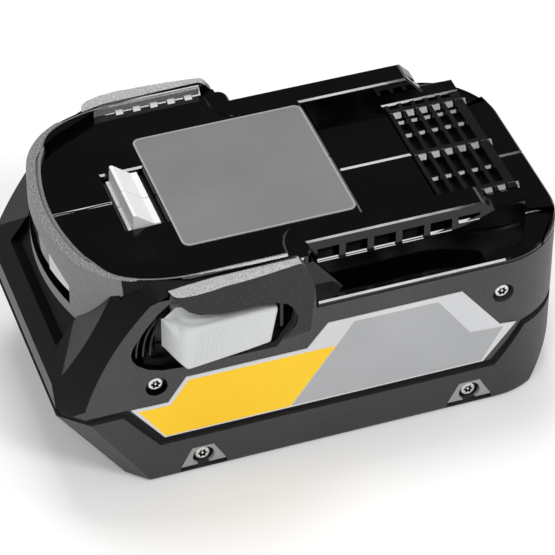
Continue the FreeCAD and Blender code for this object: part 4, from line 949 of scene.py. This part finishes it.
@dataclass
class RailTrim:
    """One side's trim: sills under the rail's windows, light plates at the ear's foot that paint in glints, and
    beads beside the rail.
    """

    side: Side
    sill_count: int = 6
    sill_first: float = 3.4
    sill_pitch: float = 7.4
    sill_half: float = 2.75
    sill_low: float = 53.6
    dash_count: int = 5
    dash_first: float = -30.4
    dash_pitch: float = 4.6
    dash_half: float = 0.95
    loop: Tuple[Point, ...] = (
        (-1.0, 22.6, 60.5), (-3.6, 23.2, 60.5), (-6.3, 25.4, 60.5), (-7.6, 28.4, 60.5), (-8.0, 31.5, 60.5),
        (-8.3, 33.9, 60.5))
    streak: Tuple[Point, ...] = ((44.3, 27.0, 47.24), (50.0, 26.4, 47.24), (56.0, 26.0, 47.24))

    def build(self) -> None:
        """Make the sills, the glint plates and the beads."""
        self.place("rail_sills_", self.sills(), "deck_plastic", "deck_abs")
        # Light plates at the foot of the ear's windows: painted glints.
        self.place("ear_glint_plates_", self.glint_plates(), "button_plastic", "button_abs")
        mirror = [1, self.side.value, 1]
        beads = [sweep(curve_through(self.loop, 40) * mirror, bead(0.25, 0.24)),
                 sweep(curve_through(self.streak, 12) * mirror, bead(0.5, 0.5))]
        self.place("rail_beads_", beads, "deck_plastic", "deck_abs")

    def place(self, start: str, parts: Sequence[Part], slot: str, finish: str) -> None:
        """Put this side's parts of one kind into the scene as one piece."""
        name = start + self.side.word
        place_piece(solid_mesh(name, parts, False), name, Body.CASE, [finish])

    def sills(self) -> List[Part]:
        """A sill under each window, with a 45-degree face; the last ones climb with the rail's curved foot."""
        sign, sills = self.side.value, []
        for count in range(self.sill_count):
            middle = self.sill_first + self.sill_pitch * count
            climb = 0.0 if middle < 28 else max(0.0, (middle - 26.0) ** 2 / 95.0)
            low = self.sill_low + climb
            wedge = [(sign * 29.75, low - 0.4), (sign * 29.95, low - 0.3), (sign * 29.4, low + 0.25),
                     (sign * 28.9, low + 0.25), (sign * 28.9, low - 0.4)]
            sills.append(prism(wedge, (middle - self.sill_half, middle + self.sill_half), "x"))
        return sills

    def glint_plates(self) -> List[Part]:
        """The light plates, low and rising towards the ear: painted glints at the foot of the ear's windows."""
        sign, glint_plates = self.side.value, []
        plate = [(sign * 32.9, 60.52), (sign * 34.3, 60.52), (sign * 34.3, 61.2), (sign * 34.0, 61.2),
                 (sign * 33.0, 60.64)]
        for count in range(self.dash_count):
            middle = self.dash_first + self.dash_pitch * count
            glint_plates.append(prism(plate, (middle - self.dash_half, middle + self.dash_half), "x"))
        return glint_plates


@dataclass
class Grille:
    """The grille's trim: chamfered tiles on the long ribs, and low posts in the gaps between them."""

    pitch: float = 3.58
    ribs: Tuple[float, ...] = (-18.0, 0.0, 18.0)
    tile_count: int = 6
    tile_first: float = 37.3
    tile_length: float = 2.9
    rows: Tuple[float, ...] = (-20.2, -9.5, 9.0, 14.5)
    post_count: int = 5
    post_first: float = 38.35
    post_length: float = 1.9

    def build(self) -> None:
        """Make the tiles and the posts as one piece."""
        tiles = []
        for rib in self.ribs:
            wedge = [(rib - 0.7, 54.93), (rib - 1.9, 53.73), (rib - 1.9, 53.3), (rib - 0.6, 53.3),
                     (rib - 0.6, 54.93)]
            for count in range(self.tile_count):
                start = self.tile_first + self.pitch * count
                tiles.append(prism(wedge, (start, start + self.tile_length), "x"))
        for row in self.rows:
            post = [(row + 0.5, 54.0), (row, 54.0), (row - 0.6, 53.4), (row - 0.6, 52.0), (row + 0.5, 52.0)]
            for count in range(self.post_count):
                start = self.post_first + self.pitch * count
                tiles.append(prism(post, (start, start + self.post_length), "x"))
        place_piece(solid_mesh("grille_tiles", tiles, False), "grille_tiles", Body.CASE,
                    ["terminal_nylon"])


# The release buttons


@dataclass
class ReleaseButton:
    """One release button: a curved cheek at the nose, a bowed face with fine grooves, and a raised back."""

    side: Side
    nose: float = -41.2
    corner: float = -35.3
    tail: float = -12.0
    back: float = 35.2
    corner_out: float = 40.6
    tail_out: float = 37.7
    low: float = 37.9
    edge: float = 0.9
    crown: float = 4.2
    groove_count: int = 6
    groove_pitch: float = 1.35
    groove_depth: float = 0.22
    groove_width: float = 0.26
    groove_lean: float = 3.2
    hump_height: float = 3.0
    under_rise: float = 4.6
    tail_round: float = 0.8
    arm: Tuple[Tuple[float, float], ...] = (
        (35.3, 50.8), (13.5, 50.8), (10.2, 54.1), (31.0, 54.1), (35.4, 53.2), (35.4, 50.8))
    arm_span: Tuple[float, float] = (-37.9, -34.6)

    def lengthwise(self) -> np.ndarray:
        """Places along the button, closer together over the grooves and at both ends."""
        return np.concatenate([self.nose + 0.9 * np.linspace(0, 1, 10, endpoint=False) ** 1.5,
                               np.linspace(self.nose + 0.9, -36.6, 16, endpoint=False),
                               np.linspace(-36.6, -22.5, 118, endpoint=False),
                               np.linspace(-22.5, self.tail - self.tail_round, 24, endpoint=False),
                               self.tail - self.tail_round * (1 - np.sin(np.linspace(0, math.pi / 2, 9)))])

    def reach(self, x: np.ndarray) -> np.ndarray:
        """How far out the outer face lies: the smaller of a straight face and a rising cheek, blended softly.

        Args:
            x: Places along the button.

        Returns:
            The outer face's distance from the middle plane.
        """
        share = np.clip((x - self.nose) / (self.corner - self.nose), 0, 1.4)
        slope = (self.corner_out - self.tail_out) / (self.tail - self.corner)
        face = self.corner_out - (x - self.corner) * slope
        rise = 1 - np.maximum(1 - share, 0) ** 1.9
        cheek = self.back + (self.corner_out + 0.5 - self.back) * rise + 4 * np.maximum(share - 1, 0)
        blend = 0.3
        return -blend * np.log(np.exp(-face / blend) + np.exp(-cheek / blend))

    def surface(self) -> np.ndarray:
        """Sections across the button, carried along it.

        Each section runs from the back down the slanted underside, round an edge, up the face, round an edge
        and back along the top, whose height rises towards the back near the nose. The face sinks by the
        grooves' bell curves, whose middles lean to the tail as they climb.

        Returns:
            The points in millimetres, by place along the button and place round its section.
        """
        x = self.lengthwise()[:, None]
        past = np.maximum(x - (self.tail - self.tail_round), 0)
        shrink = self.tail_round - np.sqrt(np.maximum(self.tail_round ** 2 - past ** 2, 0))
        out = self.reach(x) - shrink
        low = self.low + 4.9 * np.clip((-36.2 - x) / 4.9, 0, 1) + shrink
        high = 51.0 - (x + 34.0) * (2.1 / 21.7) - shrink
        depth = np.maximum(out - self.back, 0.01)
        edge = np.minimum(self.edge, 0.9 * depth)
        crown = np.minimum(self.edge + self.crown * np.clip((-33.5 - x) / 5.0, 0, 1) ** 1.5, 0.92 * depth)
        arc = np.linspace(0, math.pi / 2, 9)[None, 1:]
        run = np.linspace(0, 1, 12)[None, :]
        rise = np.linspace(0, 1, 30)[None, 1:-1]
        under = self.back + (depth - edge) * run
        face_z = low + edge + (high - low - edge - crown) * rise
        middles = self.corner + 0.9 + self.groove_pitch * np.arange(self.groove_count)
        lean = self.groove_lean * np.clip((face_z - self.low) / 13.0, 0, 1) ** 1.7
        bells = np.exp(-((x[..., None] - middles - lean[..., None]) / self.groove_width) ** 2).sum(-1)
        fade = np.clip(np.minimum(rise, 1 - rise) * 9, 0, 1)
        face_out = out - self.groove_depth * bells * fade
        first_out, first_z = out - edge + edge * np.sin(arc), low + edge - edge * np.cos(arc)
        last_out, last_z = out - crown + crown * np.cos(arc), high - crown + crown * np.sin(arc)
        hump = self.hump_height * np.clip((x + 40.4) / 3.0, 0, 1) * np.clip((-26.0 - x) / 6.0, 0, 1)
        top_share = run[:, ::-1][:, 1:]
        top_out = self.back + (depth - crown) * top_share
        top_z = high + hump * (1 - top_share) ** 1.4
        width = x * 0
        sections = [(under, low + self.under_rise * (1 - run)), (first_out, first_z), (face_out, face_z),
                    (last_out, last_z), (top_out, top_z)]
        outs = np.concatenate([part + width for part, _ in sections], 1)
        heights = np.concatenate([part + width for _, part in sections], 1)
        slant = np.clip((x + 20.0) / 8.0, 0, 1) * (heights - self.low - 11.0) * (2.0 / 11.0)
        return np.stack([x + slant, self.side.value * outs, heights], -1)

    def build(self) -> None:
        """Make the button with its arm and put it in place of the frame's node."""
        points = self.surface()
        rows, columns = points.shape[:2]
        faces = grid_faces(rows, columns, True).tolist()
        faces += [list(range(columns))[::-1], list(range((rows - 1) * columns, rows * columns))]
        sign = self.side.value
        arm = [(sign * out, height) for out, height in self.arm]
        body = Body.LEFT_BUTTON if self.side is Side.LEFT else Body.RIGHT_BUTTON
        name = "release_button_" + self.side.word
        mesh = solid_mesh(name, [(points.reshape(-1, 3), faces, 0), prism(arm, self.arm_span, "x")])
        place_piece(mesh, "finger_" + name, body, ["button_abs"], [name])


@dataclass
class ButtonGuide:
    """The inner guide of a button: a wall with a window for the arm, curved fins at the nose end and a post."""

    side: Side
    low: float = 40.9
    top: float = 58.1
    inner: float = 30.0
    face: float = 31.4
    window: Tuple[float, float] = (-38.9, -34.1)
    window_low: float = 50.4
    window_top: float = 54.6
    nose: float = -50.0
    tail: float = -7.0
    post: Tuple[float, float] = (-11.2, -10.3)
    post_out: float = 36.0
    post_top: float = 49.0
    fin_out: float = 35.6
    hidden_out: float = 31.6
    hidden_from: float = -43.0
    hidden_fade: float = 1.2
    fin_count: int = 5
    fin_pitch: float = 1.75
    fin_first: float = -47.9
    fin_width: float = 0.6
    root: float = 0.4
    edge_mm: float = 0.12

    def wall(self) -> List[Part]:
        """The wall, as four plates round the arm's window."""
        left, right = self.window
        plates = [[(self.nose, self.low), (self.nose, 46), (-43, self.top), (left, self.top), (left, self.low)],
                  [(right, self.low), (right, self.top), (self.tail, self.top), (self.tail, self.low)],
                  [(left, self.low), (left, self.window_low), (right, self.window_low), (right, self.low)],
                  [(left, self.window_top), (left, self.top), (right, self.top), (right, self.window_top)]]
        span = (self.side.value * self.inner, self.side.value * self.face)
        return [prism(plate, span, "y") for plate in plates]

    def fin(self, count: int) -> Part:
        """One fin: a curve that leans to the tail as it climbs, given its width, and carried outward.

        Its outer edge is drawn in behind the button, so that the pressed button clears it.

        Args:
            count: The fin's number, from the nose.

        Returns:
            Points, faces and material number for solid_mesh.
        """
        sign = self.side.value
        foot = self.fin_first + self.fin_pitch * count
        middle = curve_through([(foot, 41.0), (foot + 0.35, 44.4), (foot + 1.3, 47.8 + 0.2 * count),
                                (foot + 3.2, 50.8 + 0.4 * count), (foot + 5.4, 53.2 + 0.5 * count)], 18)
        way = np.gradient(middle, axis=0)
        way /= np.linalg.norm(way, axis=1, keepdims=True)
        across = np.stack([-way[:, 1], way[:, 0]], -1) * self.fin_width / 2
        outline = np.vstack([middle + across, (middle - across)[::-1]])
        span = (sign * self.face - sign * self.root, sign * self.fin_out)
        points, faces, number = prism(outline, span, "y")
        outer = np.arange(len(points)) >= len(outline)
        behind = np.clip((points[:, 0] - self.hidden_from) / self.hidden_fade, 0, 1)
        points[outer, 1] -= sign * (self.fin_out - self.hidden_out) * behind[outer]
        return points, faces, number

    def build(self) -> None:
        """Make the wall, the post and the fins in place of the frame's node."""
        sign = self.side.value
        near, far = self.post
        post = prism([(near, self.low), (near, self.post_top), (far, self.post_top), (far, self.low)],
                     (sign * self.face - sign * self.root, sign * self.post_out), "y")
        parts = self.wall() + [post] + [self.fin(count) for count in range(self.fin_count)]
        name = "button_guide_" + self.side.word
        piece = place_piece(solid_mesh(name, parts, False), "finned_" + name, Body.CASE,
                            ["guide_abs"], [name])
        bevel_edges(piece, self.edge_mm, 2)


# Labels and screws


@dataclass
class SideLabel:
    """One side label: a pale frame with a yellow and a grey field."""

    side: Side
    inner: float = 37.5
    outer: float = 37.72
    proud: float = 0.03
    frame: Tuple[Tuple[float, float], ...] = (
        (-50.3, 26.2), (-40.8, 26.0), (-36.0, 33.1), (-4.7, 33.1), (0.7, 40.0), (36.1, 40.0), (46.9, 26.0),
        (51.3, 25.6), (42.8, 14.6), (-41.9, 14.6))
    yellow: Tuple[Tuple[float, float], ...] = (
        (-48.5, 25.2), (-40.2, 25.0), (-35.4, 32.0), (2.9, 31.9), (-9.0, 15.0), (-41.6, 15.0))
    grey: Tuple[Tuple[float, float], ...] = (
        (3.1, 31.9), (7.6, 38.6), (29.8, 38.4), (38.8, 25.6), (47.8, 25.0), (42.3, 15.0), (-8.8, 15.0))

    def build(self) -> None:
        """Make the frame and its two fields in place of the frame's node."""
        sign = self.side.value
        film = (sign * self.inner, sign * self.outer)
        ink = (sign * (self.outer - 0.05), sign * (self.outer + self.proud))
        parts = [prism(self.frame, film, "y", 0), prism(self.yellow, ink, "y", 1),
                 prism(self.grey, ink, "y", 2)]
        name = "side_label_" + self.side.word
        place_piece(solid_mesh(name, parts, False), "printed_" + name, Body.CASE,
                    ["frame_film", "yellow_film", "grey_film"], [name])


@dataclass
class TopLabel:
    """The plain label on the deck: a grey field with a paler border line."""

    nose: float = -30.9
    tail: float = 14.0
    half: float = 21.8
    low: float = 60.5
    high: float = 60.72
    corner: float = 2.0
    border: float = 0.5

    def outline(self, inset: float) -> np.ndarray:
        """A rectangle with round corners: quarter circles about four middles, drawn in by the inset."""
        turn = np.linspace(0, math.pi / 2, 9)
        radius = self.corner - inset
        near, far, side = self.nose + self.corner, self.tail - self.corner, self.half - self.corner
        middles = ((far, side), (near, side), (near, -side), (far, -side))
        return np.vstack([np.stack([x + radius * np.cos(turn + quarter * math.pi / 2),
                                    y + radius * np.sin(turn + quarter * math.pi / 2)], -1)
                          for quarter, (x, y) in enumerate(middles)])

    def build(self) -> None:
        """Make the film and its field in place of the frame's node."""
        parts = [prism(self.outline(0.0), (self.low, self.high), "z", 1),
                 prism(self.outline(self.border), (self.high - 0.05, self.high + 0.02), "z", 0)]
        place_piece(solid_mesh("top_label", parts, False), "plain_top_label", Body.CASE,
                    ["label_film", "label_border_film"], ["top_label"])


@dataclass
class Screws:
    """Four alike screws with a six-lobed recess and a pin in its middle, each in a sunk hole."""

    node: str
    places: Tuple[Tuple[float, float], ...]
    face: float = 36.6
    radius: float = 1.98
    sink: float = 0.9
    lobe: float = 0.98
    lobe_swing: float = 0.2
    pin: float = 0.36
    shank: float = 1.3
    tip: float = 33.3
    around: int = 96

    def head(self, x: float, z: float, sign: int) -> List[Part]:
        """A turned form: rings about the screw's axis, whose radius swings six times a turn at the recess.

        Args:
            x: The screw's place along the pack.
            z: Its height.
            sign: The side, as the sign of Y.

        Returns:
            The bright outside and the recess painted dark as its shade, each as points, faces and material
            number for solid_mesh.
        """
        turn = np.linspace(0, 2 * math.pi, self.around, endpoint=False)
        star = self.lobe + self.lobe_swing * np.cos(6 * turn)
        flat = np.ones_like(turn)
        rings = [(0.0, self.tip - self.face), (self.shank, self.tip - self.face), (self.shank, -1.6),
                 (self.radius, -1.6), (self.radius, -0.45)]
        rings += [(self.radius - 0.45 + 0.45 * math.cos(angle), -0.45 + 0.4 * math.sin(angle))
                  for angle in np.linspace(0.2, math.pi / 2, 6)]
        profile = [(radius * flat, height) for radius, height in rings]
        profile += [(star + 0.06, 0.0), (star, -0.06), (star - 0.05, -self.sink),
                    (self.pin * flat, -self.sink), (self.pin * flat, -0.1),
                    ((self.pin - 0.08) * flat, -0.02), (0.0 * flat, -0.02)]
        radii = np.stack([radius for radius, _ in profile])
        heights = np.array([height for _, height in profile])[:, None] + 0 * radii
        points = np.stack([x + radii * np.cos(turn), sign * (self.face + heights),
                           z + radii * np.sin(turn)], -1)
        faces = grid_faces(len(profile), self.around, True).tolist()
        rows = [len(rings) * self.around, (len(rings) + 3) * self.around]
        flat_points = points.reshape(-1, 3)
        return [(flat_points, faces[:rows[0]] + faces[rows[1]:], 0),
                (flat_points, faces[rows[0]:rows[1]], 1)]

    def build(self) -> None:
        """Make the four screws in place of the frame's node."""
        parts = [part for side in Side for x, z in self.places for part in self.head(x, z, side.value)]
        # The recess gets the dark steel: painted shade.
        place_piece(solid_mesh(self.node, parts), "pinned_" + self.node, Body.CASE,
                    ["zinc_steel", "recess_shade_steel"], [self.node])


@dataclass
class Latch:
    """The two latch halves with rounded edges."""

    edge_mm: float = 0.25

    def build(self) -> None:
        """Round the edges of both halves."""
        for side, body in ((Side.LEFT, Body.LEFT_LATCH), (Side.RIGHT, Body.RIGHT_LATCH)):
            softened("latch_" + side.word, "catch_" + side.word, body, ["latch_acetal"],
                     self.edge_mm)


# The pieces inside, which stay as the frame has them, and their finishes
INNER_NODES = {
    "gauge_board": "board_laminate", "gauge_leds": "light_epoxy", "latch_spring_left": "spring_steel",
    "latch_spring_right": "spring_steel", "latch_carrier": "guide_abs", "cell_holder_left": "holder_abs",
    "cell_holder_right": "holder_abs", "end_cover_left": "holder_abs", "end_cover_right": "holder_abs",
    "bus_strips_left": "nickel_strip", "bus_strips_right": "nickel_strip",
    "temperature_sensor": "package_epoxy", "protection_board": "board_laminate",
    "board_transistors": "package_epoxy", "power_contact_positive": "tinned_copper",
    "power_contact_negative": "tinned_copper", "signal_contacts": "tinned_copper",
}
INNER_NODES.update({"cell_%02d" % number: "cell_sleeve" for number in range(1, 11)})


def main() -> None:
    """Build the stage and the pieces in order."""
    logging.basicConfig(level=logging.INFO)
    Studio().build()
    Case().build()
    for side in Side:
        ReleaseButton(side).build()
        ButtonGuide(side).build()
        SideLabel(side).build()
    Latch().build()
    TopLabel().build()
    Screws("housing_screws", ((-43.5, 32.0), (47.4, 36.0))).build()
    Screws("tray_screws", ((-31.9, 4.9), (39.6, 4.8))).build()
    for node, finish in INNER_NODES.items():
        dress(node, finish)


if __name__ == "__main__":
    main()
